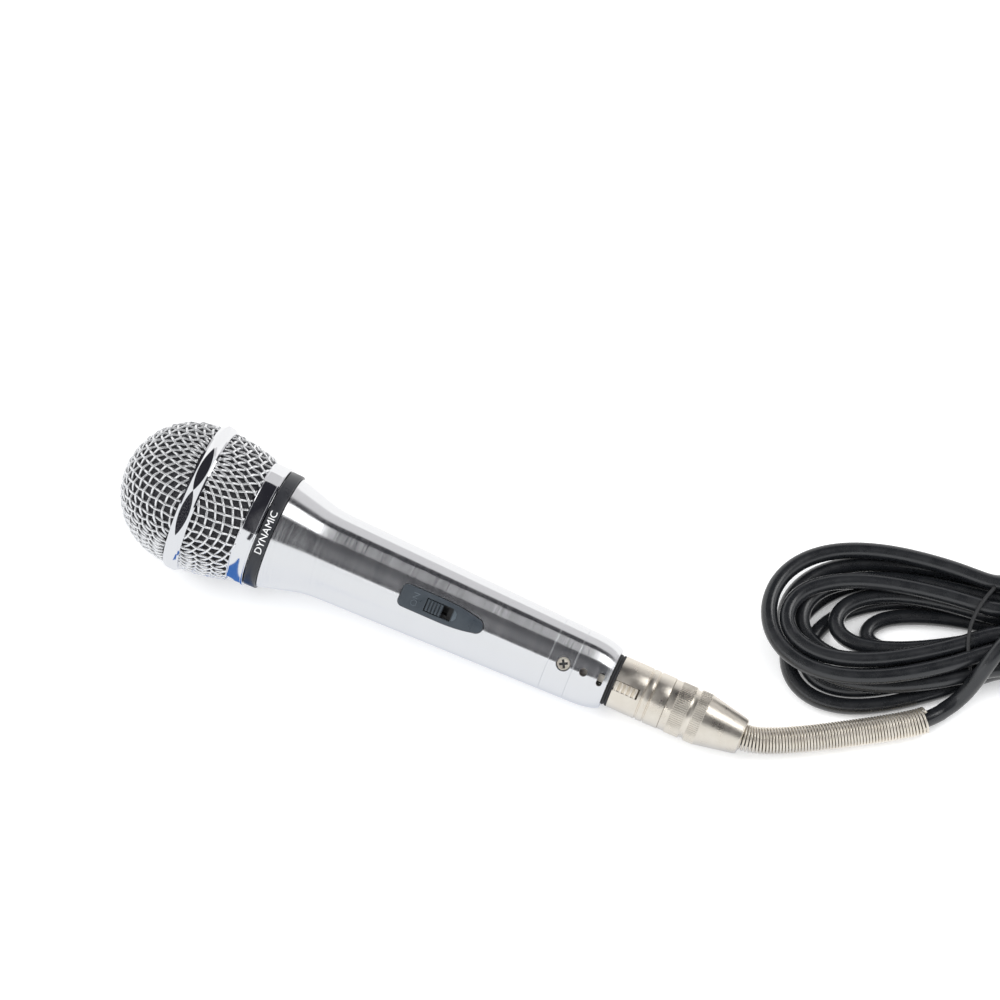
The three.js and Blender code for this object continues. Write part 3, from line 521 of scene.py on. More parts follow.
def makeFoam(c):
    def shell(radius, inset):
        points = [(domeCentre - radius * math.cos(a), radius * math.sin(a))
                  for a in (math.pi / 2 * i / c["steps"] for i in range(c["steps"] + 1))]
        for i in range(1, c["rearSteps"] + 1):
            t = i / c["rearSteps"]
            fall = (c["front"] - c["rear"]) * t ** basket["fall"]
            points.append((stations["basketStart"] + t * (basket["length"] - 0.3), c["front"] - fall - inset))
        return points
    outer = shell(domeCentre - c["inset"], c["inset"])
    inner = shell(domeCentre - c["inset"] - c["thickness"], c["inset"] + c["thickness"])
    bm = turned(outer + inner[::-1], 96, closed=False)
    finishPiece(bm, "foam_lining", "grille", "foam", replaced=["foam_liner"])


band = {"peak": 27.0, "flats": 10, "flatWidth": 3.3, "edge": 25.1, "inner": 23.5}


def makeBand(c):
    start, end = stations["bandStart"], stations["bandEnd"]
    middle = (start + end) / 2
    flatDepth = c["peak"] * math.cos(math.pi / c["flats"])
    half = c["flatWidth"] / 2
    crown = [(middle + half * k, c["peak"] - (c["peak"] - flatDepth) * abs(k) ** 1.15)
             for k in (-1.25, -1, -0.8, -0.6, -0.4, -0.2, 0, 0.2, 0.4, 0.6, 0.8, 1, 1.25)]
    profile = [(start, c["inner"]), (start, c["edge"] - 0.5), (start + 0.12, c["edge"]), *crown,
               (end - 0.12, c["edge"]), (end, c["edge"] - 0.5), (end, c["inner"])]
    bm = turned(profile, 200)
    for i in range(c["flats"]):
        angle = 2 * math.pi * i / c["flats"]
        out = Vector((0, math.sin(angle), math.cos(angle)))
        cut = bmesh.ops.bisect_plane(bm, geom=bm.verts[:] + bm.edges[:] + bm.faces[:], dist=1e-5,
                                     plane_co=out * flatDepth, plane_no=out, clear_outer=True)
        edges = [e for e in cut["geom_cut"] if isinstance(e, bmesh.types.BMEdge)]
        bmesh.ops.holes_fill(bm, edges=edges, sides=0)
    bmesh.ops.recalc_face_normals(bm, faces=bm.faces)
    finishPiece(bm, "grille_band_faceted", "grille", "chromeClean",
                replaced=["grille_band"], smooth=24)


collar = {"radius": 21.2, "rearRadius": 21.05, "bore": 18.3, "bead": 0.28}


def makeCollar(c):
    start, end = stations["collarStart"] - 0.25, stations["collarEnd"]
    bead = c["rearRadius"] + c["bead"]
    profile = [(start, c["bore"]), (start, c["radius"] + 0.12), (start + 0.5, c["radius"] + 0.12),
               (start + 0.62, c["radius"]), (end - 0.75, c["rearRadius"]), (end - 0.65, bead),
               (end, bead), (end, c["bore"])]
    bm = bevelSharp(turned(profile, 160), 0.09)
    finishPiece(bm, "grille_collar_turned", "grille", "chromeClean", replaced=["grille_collar"])


trim = {"radius": 20.5, "bore": 18.3, "edge": 0.25}
trimWord = {"text": "DYNAMIC", "height": 2.5, "width": 15.4, "relief": 0.16, "middle": -26.0}


def makeTrim(c):
    start, end = stations["trimStart"] - 0.05, stations["trimEnd"] + 0.1
    profile = [(start, c["bore"]), (start, c["radius"]), (end, c["radius"] - 0.1), (end, c["bore"])]
    bm = bevelSharp(turned(profile, 160), c["edge"])
    finishPiece(bm, "trim_ring_turned", "microphone", "trim", replaced=["trim_ring"])
    word = trimWord
    bm = lettersBm(word["text"], word["height"], word["relief"], word["width"])
    for vert in bm.verts:
        turn, out = vert.co.x / c["radius"] + math.radians(word["middle"]), c["radius"] + vert.co.z
        vert.co = Vector(((start + end) / 2 - vert.co.y, out * math.sin(turn), out * math.cos(turn)))
    finishPiece(bm, "trim_lettering", "microphone", "print", smooth=0)


# Handle
handleShape = {
    "flareRadius": 19.6, "coneLength": 13.0, "coneEnd": 16.05, "flareLength": 21.0, "grip": 15.12,
    "gripEnd": 12.55, "rounding": 10.0, "tail": 10.6, "wall": 1.6, "neck": 18.0, "neckStart": 47.4,
    "boreDepth": 14.0, "bore": 8.4, "grooves": (157.3, 165.9), "grooveWidth": 0.42, "grooveDepth": 0.2,
    "screw": 162.5, "screwRecess": 2.55, "recessDepth": 1.2, "keyHole": 169.7, "keyHoleRadius": 1.35,
    "latchWindow": 175.8, "windowAlong": 2.0, "windowAcross": 4.7,
}


def bezierPoints(a, b, c, steps):
    return [(a[0] * (1 - t) ** 2 + 2 * b[0] * t * (1 - t) + c[0] * t * t,
             a[1] * (1 - t) ** 2 + 2 * b[1] * t * (1 - t) + c[1] * t * t)
            for t in (i / steps for i in range(steps + 1))]


def gripSlope(c=handleShape):
    length = stations["handleEnd"] - stations["handleStart"]
    return (c["grip"] - c["gripEnd"]) / (length - c["rounding"] - c["flareLength"])


def gripRadiusAt(station, c=handleShape):
    return c["grip"] - gripSlope() * (station - stations["handleStart"] - c["flareLength"])


def handleProfile(c):
    start, end = stations["handleStart"], stations["handleEnd"]
    coneEnd = start + c["coneLength"]
    flare = bezierPoints((coneEnd, c["coneEnd"]), (coneEnd + 3.3, c["grip"] + 0.13),
                         (start + c["flareLength"], c["grip"]), 10)
    tail = bezierPoints((end - c["rounding"], c["gripEnd"]), (end - 3.1, c["gripEnd"] - 0.2),
                        (end, c["tail"]), 14)
    grooves = []
    for groove in c["grooves"]:
        radius = gripRadiusAt(groove)
        half = c["grooveWidth"] / 2
        grooves += [(groove - half, radius), (groove, radius - c["grooveDepth"]), (groove + half, radius)]
    boreStart = end - c["boreDepth"]
    outer = [(c["neckStart"], c["neck"]), (start, c["neck"]), (start, c["flareRadius"] - 0.15),
             (start + 0.15, c["flareRadius"])] + flare + grooves + tail
    inner = [(end, c["bore"]), (boreStart, c["bore"]), (boreStart, gripRadiusAt(boreStart) - c["wall"]),
             (start + c["flareLength"], c["grip"] - c["wall"]), (coneEnd, c["coneEnd"] - c["wall"]),
             (start, c["neck"] - c["wall"]), (c["neckStart"], c["neck"] - c["wall"])]
    return outer + inner


switch = {
    "start": 103.6, "length": 29.6, "width": 7.8, "tipWidth": 5.0, "straight": 18.4, "corner": 1.7,
    "proud": 0.85, "sunk": 0.9, "windowStart": 9.0, "windowLength": 9.5, "windowWidth": 4.7,
    "sliderLength": 5.7, "sliderProud": 0.6, "ribs": 5, "gap": 0.3, "word": "ON", "wordHeight": 2.3,
    "wordPlace": 5.2,
}
switchSpace = (featureSpace @ Matrix.Translation((switch["start"], 0, gripRadiusAt(switch["start"])))
               @ Matrix.Rotation(math.atan(gripSlope()), 4, "Y"))
switchInFeature = featureSpace.inverted() @ switchSpace


def plateOutline(c, grow):
    half, tip, end = c["width"] / 2 + grow, c["tipWidth"] / 2 + grow, c["length"] + grow
    corner = c["corner"] + grow
    lower = arc(-grow + corner, -half + corner, corner, 180, 270, 8)
    shoulder = bezierPoints((c["straight"] - 4, -half), (c["straight"] + 3, -half), (end - tip, -tip), 8)
    nose = arc(end - tip, 0, tip, -90, 90, 18)[1:-1]
    back = [(x, -y) for x, y in (lower + shoulder)[::-1]]
    return lower + shoulder + nose + back


def slotOutline(cx, along, across, steps=10):
    # a slot whose round ends lie across the axis
    half = across / 2 - along / 2
    return arc(cx, half, along / 2, 0, 180, steps) + arc(cx, -half, along / 2, 180, 360, steps)


def makeHandle(c):
    reach = 30
    intoFeature = Matrix.Rotation(featureAngle, 4, "X")
    pocket = outlineSlab(plateOutline(switch, switch["gap"]), -switch["sunk"] - 0.3, reach)
    window = boxBm(switch["windowStart"], switch["windowStart"] + switch["windowLength"],
                   -switch["windowWidth"] / 2, switch["windowWidth"] / 2, -5, 1)
    for cutter in (pocket, window):
        bmesh.ops.transform(cutter, matrix=switchInFeature, verts=cutter.verts)
    surface = gripRadiusAt(c["screw"])
    cutters = [pocket, window,
               postBm(c["screw"], 0, c["screwRecess"], surface - c["recessDepth"], reach, 64),
               postBm(c["screw"], 0, 1.3, 5, reach, 24),
               postBm(c["keyHole"], 0, c["keyHoleRadius"], 2, reach, 48),
               outlineSlab(slotOutline(c["latchWindow"], c["windowAlong"], c["windowAcross"]), 2, reach)]
    for cutter in cutters:
        bmesh.ops.transform(cutter, matrix=intoFeature, verts=cutter.verts)
    bm = cutBm(turned(handleProfile(c), 192), cutters)
    finishPiece(bm, "handle_turned", "microphone", "chrome", replaced=["handle"], smooth=28)


# Switch
def makeSwitchPlate(c):
    window = boxBm(c["windowStart"], c["windowStart"] + c["windowLength"], -c["windowWidth"] / 2,
                   c["windowWidth"] / 2, -9, 9)
    plate = bevelSharp(outlineSlab(plateOutline(c, 0), -c["sunk"], c["proud"]), 0.28, 50, 3)
    bm = cutBm(plate, [window])
    finishPiece(bm, "switch_plate_moulded", "microphone", "switchBlack", switchSpace,
                ["switch_plate"])
    # the off mark is coloured lighter than the plate: painted sheen on its bulge
    bumpX = c["windowStart"] + c["windowLength"] + 0.35
    bump = outlineSlab(arc(bumpX, 0, 1.9, -90, 90, 20), c["proud"] - 0.05, c["proud"] + 0.3)
    bmesh.ops.scale(bump, vec=(0.72, 1, 1), verts=bump.verts, space=Matrix.Translation((-bumpX, 0, 0)))
    finishPiece(bevelSharp(bump, 0.22, 50, 3), "switch_off_mark", "microphone",
                "switchMarkAndSheen", switchSpace)
    word = lettersBm(c["word"], c["wordHeight"], 0.2)
    for vert in word.verts:
        vert.co = Vector((c["wordPlace"] - vert.co.y, vert.co.x, c["proud"] + vert.co.z))
    finishPiece(word, "switch_on_mark", "microphone", "switchMarkAndSheen", switchSpace, smooth=0)


def makeSwitchSlider(c):
    start, half = c["windowStart"] + c["gap"], c["windowWidth"] / 2 - c["gap"]
    pitch = c["sliderLength"] / c["ribs"]
    top = c["proud"] + c["sliderProud"]
    ribs = [boxBm(start + (i + 0.2) * pitch, start + (i + 0.8) * pitch, -half, half, 0, top)
            for i in range(c["ribs"])]
    bm = boxBm(start, start + c["sliderLength"], -half, half, -c["sunk"], c["proud"] - 0.1)
    for rib in ribs:
        bevelSharp(rib, 0.16, 50, 3)
    bm = cutBm(bm, ribs, "UNION")
    stem = boxBm(start + 1.65, start + 4.05, -1, 1, -c["sunk"] - 3.8, -c["sunk"] + 0.1)
    bm = cutBm(bm, [stem], "UNION")
    finishPiece(bm, "switch_slider_moulded", "switch", "switchBlack", switchSpace,
                ["switch_slider"])


# Screw in the tail
screw = {"radius": 2.2, "shank": 1.0, "shankLength": 4.4, "thickness": 0.75, "dish": 1.62,
         "cross": 2.9, "crossWidth": 0.85, "crossDepth": 0.68, "turn": 0.5}


def crossBars(c, z0, z1):
    half, wide = c["cross"] / 2, c["crossWidth"] / 2
    return [boxBm(-half, half, -wide, wide, z0, z1), boxBm(-wide, wide, -half, half, z0, z1)]


def makeScrew(c):
    top = gripRadiusAt(handleShape["screw"]) - handleShape["recessDepth"] + 0.3 + c["thickness"]
    under, foot = -c["thickness"], -c["thickness"] - c["shankLength"]
    profile = [(0, foot), (c["shank"], foot), (c["shank"], under), (c["radius"], under), (c["radius"], -0.32),
               (c["radius"] * 0.9, -0.08), (c["radius"] * 0.82, -0.05), (c["dish"], -0.08),
               (c["dish"] * 0.88, -0.3), (c["dish"] * 0.5, -0.34), (0, -0.34)]
    bm = bmesh.new()
    verts = [bm.verts.new((r, 0, z)) for r, z in profile]
    edges = [bm.edges.new(pair) for pair in zip(verts, verts[1:])]
    bmesh.ops.spin(bm, geom=verts + edges, cent=(0, 0, 0), axis=(0, 0, 1), dvec=(0, 0, 0),
                   angle=2 * math.pi, steps=48, use_merge=True, use_duplicate=False)
    bmesh.ops.remove_doubles(bm, verts=bm.verts, dist=1e-5)
    bmesh.ops.recalc_face_normals(bm, faces=bm.faces)
    bm = cutBm(bm, crossBars(c, -c["crossDepth"], 1))
    place = Matrix.Translation((handleShape["screw"], 0, top))
    space = featureSpace @ place @ Matrix.Rotation(c["turn"], 4, "Z")
    finishPiece(bm, "tail_screw_driven", "microphone", "nickel", space, ["tail_screw"])
    shade = crossBars(c, -c["crossDepth"] - 0.02, -0.45)  # a black plug in the bottom of the cross: painted shade in the recess
    finishPiece(cutBm(shade[0], shade[1:], "UNION"), "tail_screw_cross_shade", "microphone",
                "innerBlack", space, smooth=0)


# Cable connector
seal = {"radius": 9.0, "bore": 8.25, "grooveDepth": 0.35}
shell = {"radius": 9.1, "nose": 7.95, "noseStart": 165.7, "noseBore": 6.75, "rearBore": 7.6,
         "beads": (9.9, 12.6), "beadWidth": 0.55, "beadDepth": 0.4, "slotHalf": 1.8}
latch = {"width": 3.3, "length": 8.3, "proud": 0.5, "arm": 8.5, "armWidth": 2.6, "thickness": 0.8, "ribs": 5}


def makeSeal(c):
    start, end = stations["sealStart"] - 0.2, stations["sealEnd"] + 0.2
    middle = (start + end) / 2
    groove = c["radius"] - c["grooveDepth"]
    profile = [(start, c["bore"]), (start, c["radius"]), (middle - 0.3, c["radius"]), (middle - 0.15, groove),
               (middle + 0.15, groove), (middle + 0.3, c["radius"]), (end, c["radius"]), (end, c["bore"])]
    finishPiece(bevelSharp(turned(profile, 96), 0.12), "tail_ring_moulded", "connector",
                "rubber", replaced=["tail_ring"])


def makeShell(c):
    start, end = stations["shellStart"], stations["shellEnd"] + 0.2
    outer = [(c["noseStart"], c["nose"]), (start, c["nose"]), (start, c["radius"])]
    for bead in c["beads"]:
        a, low = start + bead, c["radius"] - c["beadDepth"]
        outer += [(a, c["radius"]), (a + 0.12, low), (a + c["beadWidth"], low),
                  (a + c["beadWidth"] + 0.12, c["radius"])]
    outer += [(end, c["radius"])]
    inner = [(end, c["rearBore"]), (start, c["rearBore"]), (start, c["noseBore"]),
             (c["noseStart"], c["noseBore"])]
    bm = bevelSharp(turned(outer + inner, 128), 0.12, 60)
    slot = boxBm(start - latch["arm"] - 0.3, start + latch["length"] + 0.5,
                 -c["slotHalf"], c["slotHalf"], 5.5, 30)
    bmesh.ops.transform(slot, matrix=Matrix.Rotation(featureAngle, 4, "X"), verts=slot.verts)
    finishPiece(cutBm(bm, [slot]), "connector_shell_turned", "connector", "nickel",
                replaced=["connector_shell"], smooth=28)


def makeLatch(c):
    start = stations["shellStart"] + 0.3
    half, crown = c["width"] / 2, shell["radius"] + c["proud"]  # the button's ribs stand proud of the shell
    bottom = shell["nose"] - c["thickness"]
    pitch = c["length"] / c["ribs"]
    side = [(start, bottom), (start, shell["radius"] - 0.1)]
    for i in range(c["ribs"]):
        side += [(start + pitch * (i + 0.5) + x, z) for x, z in arc(0, crown - 0.42, 0.42, 180, 0, 6)]
        side += [(start + pitch * (i + 1) - 0.2, shell["radius"] - 0.4)]
    side += [(start + c["length"], bottom)]
    bm = outlineSlab(side, -half, half)
    bmesh.ops.rotate(bm, cent=(0, 0, 0), matrix=Matrix.Rotation(math.radians(90), 3, "X"), verts=bm.verts)
    bmesh.ops.recalc_face_normals(bm, faces=bm.faces)
    armHalf = c["armWidth"] / 2
    arm = boxBm(start - 0.3 - c["arm"], start + 1, -armHalf, armHalf, bottom, shell["nose"] - 0.05)
    bm = cutBm(bevelSharp(bm, 0.1, 60, 2), [arm], "UNION")
    finishPiece(bm, "connector_latch_ribbed", "latch", "springNickel", featureSpace,
                ["connector_latch"])


boot = {"radius": 9.1, "ring": 2.3, "knurl": 5.4, "groove": 1.5, "grooveDepth": 0.6, "coneStart": 13.4,
        "endRadius": 6.1, "springBore": 4.95, "cableBore": 3.05, "chamber": 7.1, "springSeat": 19.2,
        "teeth": 76, "toothDepth": 0.16}


def makeBoot(c):
    start, end = stations["bootStart"], stations["bootEnd"]
    knurlOne, knurlTwo = start + c["ring"], start + c["ring"] + c["knurl"] + c["groove"]
    coneStart = start + c["coneStart"]
    grooveRadius = c["radius"] - c["grooveDepth"]
    under = c["radius"] - 0.12  # the plain nut under its knurls
    outer = [(start, c["radius"] - 0.25), (knurlOne, c["radius"] - 0.25), (knurlOne, under),
             (knurlOne + c["knurl"], under), (knurlOne + c["knurl"], grooveRadius),
             (knurlTwo, grooveRadius), (knurlTwo, under), (coneStart, under), (coneStart + 0.3, under - 0.1),
             (end - 0.9, c["endRadius"] + 0.25), (end - 0.3, c["endRadius"]), (end, c["endRadius"] - 0.5)]
    seat = start + c["springSeat"]
    inner = [(end, c["springBore"]), (seat, c["springBore"]), (seat, c["cableBore"]),
             (start + 16, c["cableBore"]), (start + 12, c["chamber"]), (start, c["chamber"])]
    bm = bevelSharp(turned(outer + inner, 128), 0.1, 50)
    finishPiece(bm, "connector_boot_turned", "connector", "nickel", replaced=["connector_boot"])
    makeKnurl(c, "back_nut_knurl_front", knurlOne, knurlOne + c["knurl"])
    makeKnurl(c, "back_nut_knurl_rear", knurlTwo, coneStart)


def makeKnurl(c, name, start, end):
    # a ring of straight ribs along the axis, each raised to a blunt ridge
    low = c["radius"] - c["toothDepth"]
    bm = turned([(start + 0.12, low - 0.3), (start + 0.12, low), (end - 0.12, low), (end - 0.12, low - 0.3)],
                c["teeth"])
    rim = [f for f in bm.faces if all(math.hypot(v.co.y, v.co.z) > low - 0.05 for v in f.verts)]
    bmesh.ops.inset_individual(bm, faces=rim, thickness=0.22, depth=c["toothDepth"], use_even_offset=True)
    finishPiece(bm, name, "connector", "nickel", smooth=20)


# Inner pieces that keep their solids
innerPieces = {
    "innerBlack": ["switch_body", "xlr_insert", "connector_insert", "cable_chuck", "capsule_housing"],
    "rubber": ["shock_mount"],
    "steel": ["capsule_cap", "magnet", "magnet_yoke"],
    "copper": ["voice_coil", "wire_hot", "wire_ground"],
    "film": ["diaphragm"],
    "nickel": ["xlr_pin_1", "xlr_pin_2", "xlr_pin_3", "connector_contact_1", "connector_contact_2",
               "connector_contact_3"],
}


def dressInnerPieces():
    for finish, names in innerPieces.items():
        for name in names:
            mesh = frame["nodes"][name].data
            mesh.materials.clear()
            mesh.materials.append(finishes[finish])


makeGrille()
makeFoam(foamShape)
makeBand(band)
makeCollar(collar)
makeTrim(trim)
print("grille made")
makeHandle(handleShape)
makeSwitchPlate(switch)
makeSwitchSlider(switch)
makeScrew(screw)
print("handle and switch made")
makeSeal(seal)
makeShell(shell)
makeLatch(latch)
makeBoot(boot)
dressInnerPieces()
print("connector made")


# Cable
# Points are along the cable's heading, across it and above the table, from the tip of the boot
cable = {"heading": 23.6, "radius": 2.75, "sample": 2.0, "room": 5.65, "rounds": 120,
         "beside": 6, "softenPasses": 2, "soften": 3, "evenOver": 2, "give": 1.0}
onAxis = (1.3, 8, 15, 19.5, 23.5, 27.5)
runPoints = [
    (4, -0.9, 7.4), (10, -1, 6.9), (21, 0.1, 6), (38, 2.6, 5.1), (54, 5.4, 4.8),
    (61.5, 7.4, 4.8), (68, 11, 4), (72.5, 14.6, 3),
]
climbPoints = [
    (75.6, 17, 8), (78.6, 19.4, 14), (82, 22.8, 18.4), (86.5, 28.2, 20.6), (92, 33.2, 20.2),
    (99, 36.2, 17.4), (107, 37, 14.8), (116, 34.6, 13.8), (126, 31, 13.8),
]
tailPoints = [
    (157, 33, 2.75), (163.5, 38, 2.75), (171, 48, 2.75), (175, 59, 3.2), (174.4, 70, 4.8),
    (170.3, 77.3, 6.5), (164.5, 79.5, 7.2), (161, 79.5, 7.2), (154, 79.5, 7.2),
]
# Turns from the top of the hank down. left and right are the reach of the two loops from the waist
# (right is the loop that leads into the turn), tip is the middle of the left loop's end, far and near
# are the places of its two runs at the waist and the bulges are how far the runs swing out.
waistAlong = 90.0
layerHeights = (2.75, 8.27, 13.8)
turnParts = ("left", "right", "tip", "far", "near", "farBulge", "nearBulge", "layer")
turns = [dict(zip(turnParts, row)) for row in (
    (76.5, 50, 40.0, 42.0, 36.2, 12.6, 12.7, 2),
    (80.6, 57, 43.0, 51.5, 30.5, 16.3, 14.2, 2),
    (76.0, 62, 42.0, 54.4, 25.2, 11.5, 11.0, 1),
    (70.5, 56, 42.5, 48.7, 30.9, 10.0, 8.5, 1),
    (60.0, 50, 40.0, 41.6, 36.0, 10.0, 6.0, 1),
    (50.0, 44, 37.0, 40.0, 36.0, 6.5, 4.0, 0),
    (69.2, 50, 28.0, 45.4, 35.0, 8.5, 14.0, 0),
    (74.8, 56, 29.0, 50.8, 29.6, 12.0, 16.6, 0),
)]
loopPhases = (0, 10, 20, 32, 45, 58, 70, 80)
dropPhases = (68, 112)  # where the right loop goes down to the next layer
lastReach = 68  # of the loop that leads out to the cable's end


def floorPoint(point):
    a = math.radians(cable["heading"])
    along, across, height = point
    return Vector((bootTip.x + (along * math.cos(a) - across * math.sin(a)) * mm,
                   bootTip.y + (along * math.sin(a) + across * math.cos(a)) * mm, height * mm))


def loopPoint(side, reach, tip, tie, bulge, phase, height):
    # phase 0 is at the waist and 90 degrees at the loop's end; a far run has a bulge above 0
    a = math.radians(phase)
    across = tip + (tie - tip) * math.cos(a) + bulge * math.sin(2 * a)
    return (waistAlong + side * reach * math.sin(a), across, height)


def dropped(old, new, phase):
    t = max(0, min(1, (phase - dropPhases[0]) / (dropPhases[1] - dropPhases[0])))
    return old + (new - old) * t * t * (3 - 2 * t)


def hankPoints():
    points = []
    previous = None
    for turn in turns:
        height = layerHeights[turn["layer"]]
        if previous:
            old = layerHeights[previous["layer"]]
            tip = (previous["tip"] + turn["tip"]) / 2
            points += [loopPoint(1, turn["right"], tip, previous["near"], -previous["nearBulge"], phase,
                                 dropped(old, height, phase)) for phase in loopPhases]
        else:
            old, tip = height, turn["tip"]
            points += [loopPoint(1, turn["right"], tip, turn["near"], -turn["nearBulge"], phase, height)
                       for phase in loopPhases[-2:]]
        points += [loopPoint(1, turn["right"], tip, turn["far"], turn["farBulge"], phase,
                             dropped(old, height, 180 - phase)) for phase in loopPhases[:0:-1]]
        points += [loopPoint(-1, turn["left"], turn["tip"], turn["far"], turn["farBulge"], phase, height)
                   for phase in loopPhases + (90,)]
        points += [loopPoint(-1, turn["left"], turn["tip"], turn["near"], -turn["nearBulge"], phase, height)
                   for phase in loopPhases[:0:-1]]
        previous = turn
    points += [loopPoint(1, lastReach, previous["tip"], previous["near"], -previous["nearBulge"], phase,
                         layerHeights[0]) for phase in loopPhases[:5]]
    return points


def smoothLine(points, spacing):
    # a smooth curve through the points, as short even steps
    line = []
    padded = [points[0] * 2 - points[1], *points, points[-1] * 2 - points[-2]]
    for p0, p1, p2, p3 in zip(padded, padded[1:], padded[2:], padded[3:]):
        knots = [0.0]
        for a, b in ((p0, p1), (p1, p2), (p2, p3)):
            knots.append(knots[-1] + max((b - a).length, 1e-6) ** 0.5)
        count = max(1, round((p2 - p1).length / spacing))
        for i in range(count):
            t = knots[1] + (knots[2] - knots[1]) * i / count
            line.append(centripetal(p0, p1, p2, p3, knots, t))
    line.append(points[-1])
    return line


def centripetal(p0, p1, p2, p3, k, t):
    a1 = p0 * ((k[1] - t) / (k[1] - k[0])) + p1 * ((t - k[0]) / (k[1] - k[0]))
    a2 = p1 * ((k[2] - t) / (k[2] - k[1])) + p2 * ((t - k[1]) / (k[2] - k[1]))
    a3 = p2 * ((k[3] - t) / (k[3] - k[2])) + p3 * ((t - k[2]) / (k[3] - k[2]))
    b1 = a1 * ((k[2] - t) / (k[2] - k[0])) + a2 * ((t - k[0]) / (k[2] - k[0]))
    b2 = a2 * ((k[3] - t) / (k[3] - k[1])) + a3 * ((t - k[1]) / (k[3] - k[1]))
    return b1 * ((k[2] - t) / (k[2] - k[1])) + b2 * ((t - k[1]) / (k[2] - k[1]))


def lineLength(line):
    return sum((b - a).length for a, b in zip(line, line[1:]))


def meanAbout(vectors, i, span):
    return sum(vectors[i - span:i + span + 1], Vector()) / (2 * span + 1)


def pushAt(line, i, near, moving):
    # half the push when the strand beside it gives way too
    push = Vector()
    for place, k, distance in near:
        if abs(k - i) > cable["beside"] and distance > 0:
            share = 0.5 if k in moving else 1.0
            push += (line[i] - place) / distance * (cable["room"] * mm - distance) * share
    return push


def easedApart(line, moving):
    # softens sharp bends, then pushes the strands off each other wherever they would sink in
    for _ in range(cable["softenPasses"]):
        line = [meanAbout(line, i, cable["soften"]) if i in moving else place for i, place in enumerate(line)]
    start = list(line)
    for _ in range(cable["rounds"]):
        places = KDTree(len(line))
        for i, place in enumerate(line):
            places.insert(place, i)
        places.balance()
        moves = [place - old for place, old in zip(line, start)]
        for i in moving:
            near = places.find_range(line[i], cable["room"] * mm)
            moves[i] += pushAt(line, i, near, moving) * cable["give"]
        for i in moving:
            line[i] = start[i] + meanAbout(moves, i, cable["evenOver"])
            line[i].z = max(line[i].z, cable["radius"] * mm)
    return line


axisPoints = [micSpace @ Vector((stations["bootStart"] + along, 0, 0)) for along in onAxis]
routePoints = axisPoints + [floorPoint(p) for p in runPoints + climbPoints + hankPoints() + tailPoints]
smoothRoute = smoothLine(routePoints, cable["sample"] * mm)
hankEnds = [min(range(len(smoothRoute)), key=lambda i: (smoothRoute[i] - floorPoint(end)).length)
            for end in (runPoints[-2], tailPoints[0])]
route = easedApart(smoothRoute, range(hankEnds[0], hankEnds[1]))
cableLength = lineLength(route)
print("cable length", round(cableLength, 3))


def makeCable():
    data = bpy.data.curves.new("cable", "CURVE")
    data.dimensions = "3D"
    data.bevel_depth, data.bevel_resolution, data.use_fill_caps = cable["radius"] * mm, 6, True
    spline = data.splines.new("POLY")
    spline.points.add(len(route) - 1)
    for point, place in zip(spline.points, route):
        point.co = (*place, 1)
    spline.use_smooth = True
    piece = newObject("cable", data)
    data.materials.append(finishes["jacket"])
    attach(piece, "connector")
    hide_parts("cord_run", "cord_hank", "cord_tail")
    return piece


# Spring relief, wound round the cable
spring = {"inBoot": 8.0, "reach": 61.5, "wire": 0.45, "mean": 4.17, "pitch": 1.05, "perTurn": 24,
          "sample": 0.4}


def alongHeading(place):
    a = math.radians(cable["heading"])
    offset = place - bootTip
    return (offset.x * math.cos(a) + offset.y * math.sin(a)) / mm


def makeSpring(c):
    inside = (stations["bootEnd"] - stations["bootStart"] - c["inBoot"] - onAxis[0]) * mm
    core = smoothLine(routePoints[:len(axisPoints) + len(runPoints)], c["sample"] * mm)
    coils, turn = [], 0.0
    tangent = (core[1] - core[0]).normalized()
    side = tangent.orthogonal().normalized()
    step = c["pitch"] / c["perTurn"] * mm
    left = inside
    for a, b in zip(core, core[1:]):
        length = (b - a).length
        direction = (b - a).normalized()
        side = (side - direction * side.dot(direction)).normalized()
        while left <= length:
            centre = a + direction * left
            if alongHeading(centre) > c["reach"]:
                return finishSpring(c, coils)
            angle = turn * 2 * math.pi
            other = direction.cross(side)
            coils.append(centre + (side * math.cos(angle) + other * math.sin(angle)) * c["mean"] * mm)
            turn += 1 / c["perTurn"]
            left += step
        left -= length
    return finishSpring(c, coils)


def finishSpring(c, coils):
    finishPiece(wiresBm([coils], c["wire"] * mm, 2), "relief_spring_wound", "connector",
                "springNickel", Matrix.Identity(4), ["relief_spring"], smooth=0)


# Tie round the middle of the hank
tie = {
    "radius": 0.7, "step": 1.2,
    "ring": [
        (84.9, 50, 16.2), (81.8, 45.8, 17.9), (78.8, 41.2, 17.6), (76.5, 35.8, 17.4),
        (75.7, 31, 16.9), (75.7, 27.2, 15), (76.4, 23.6, 11.6), (77.2, 21.2, 7),
        (78, 21.6, 2.6), (79, 25, 0.8), (80.5, 33, 0.75), (82.4, 44, 0.75),
        (84, 53, 0.9), (85.4, 57.6, 3.6), (86.2, 58.2, 7.4), (86.2, 54.8, 11.2),
    ],
}


def makeTie(c):
    ring = [floorPoint(point) for point in c["ring"]]
    loop = smoothLine(ring + ring[:1], c["step"] * mm)[:-1]
    finishPiece(wiresBm([loop], c["radius"] * mm, 3, cyclic=True), "cable_tie_loop", "connector",
                "tie", Matrix.Identity(4), ["cable_tie"], smooth=0)


# Jack plug
jack = {"start": (163, 79.5), "reliefLength": 10.0, "reliefStart": 4.2, "reliefEnd": 5.6, "barrelStart": 10.3,
        "barrelEnd": 38.0, "barrel": 7.2, "contact": 3.175, "sleeveEnd": 62.2, "insulatorEnd": 63.7,
        "tipStart": 64.0, "tipEnd": 72.0}


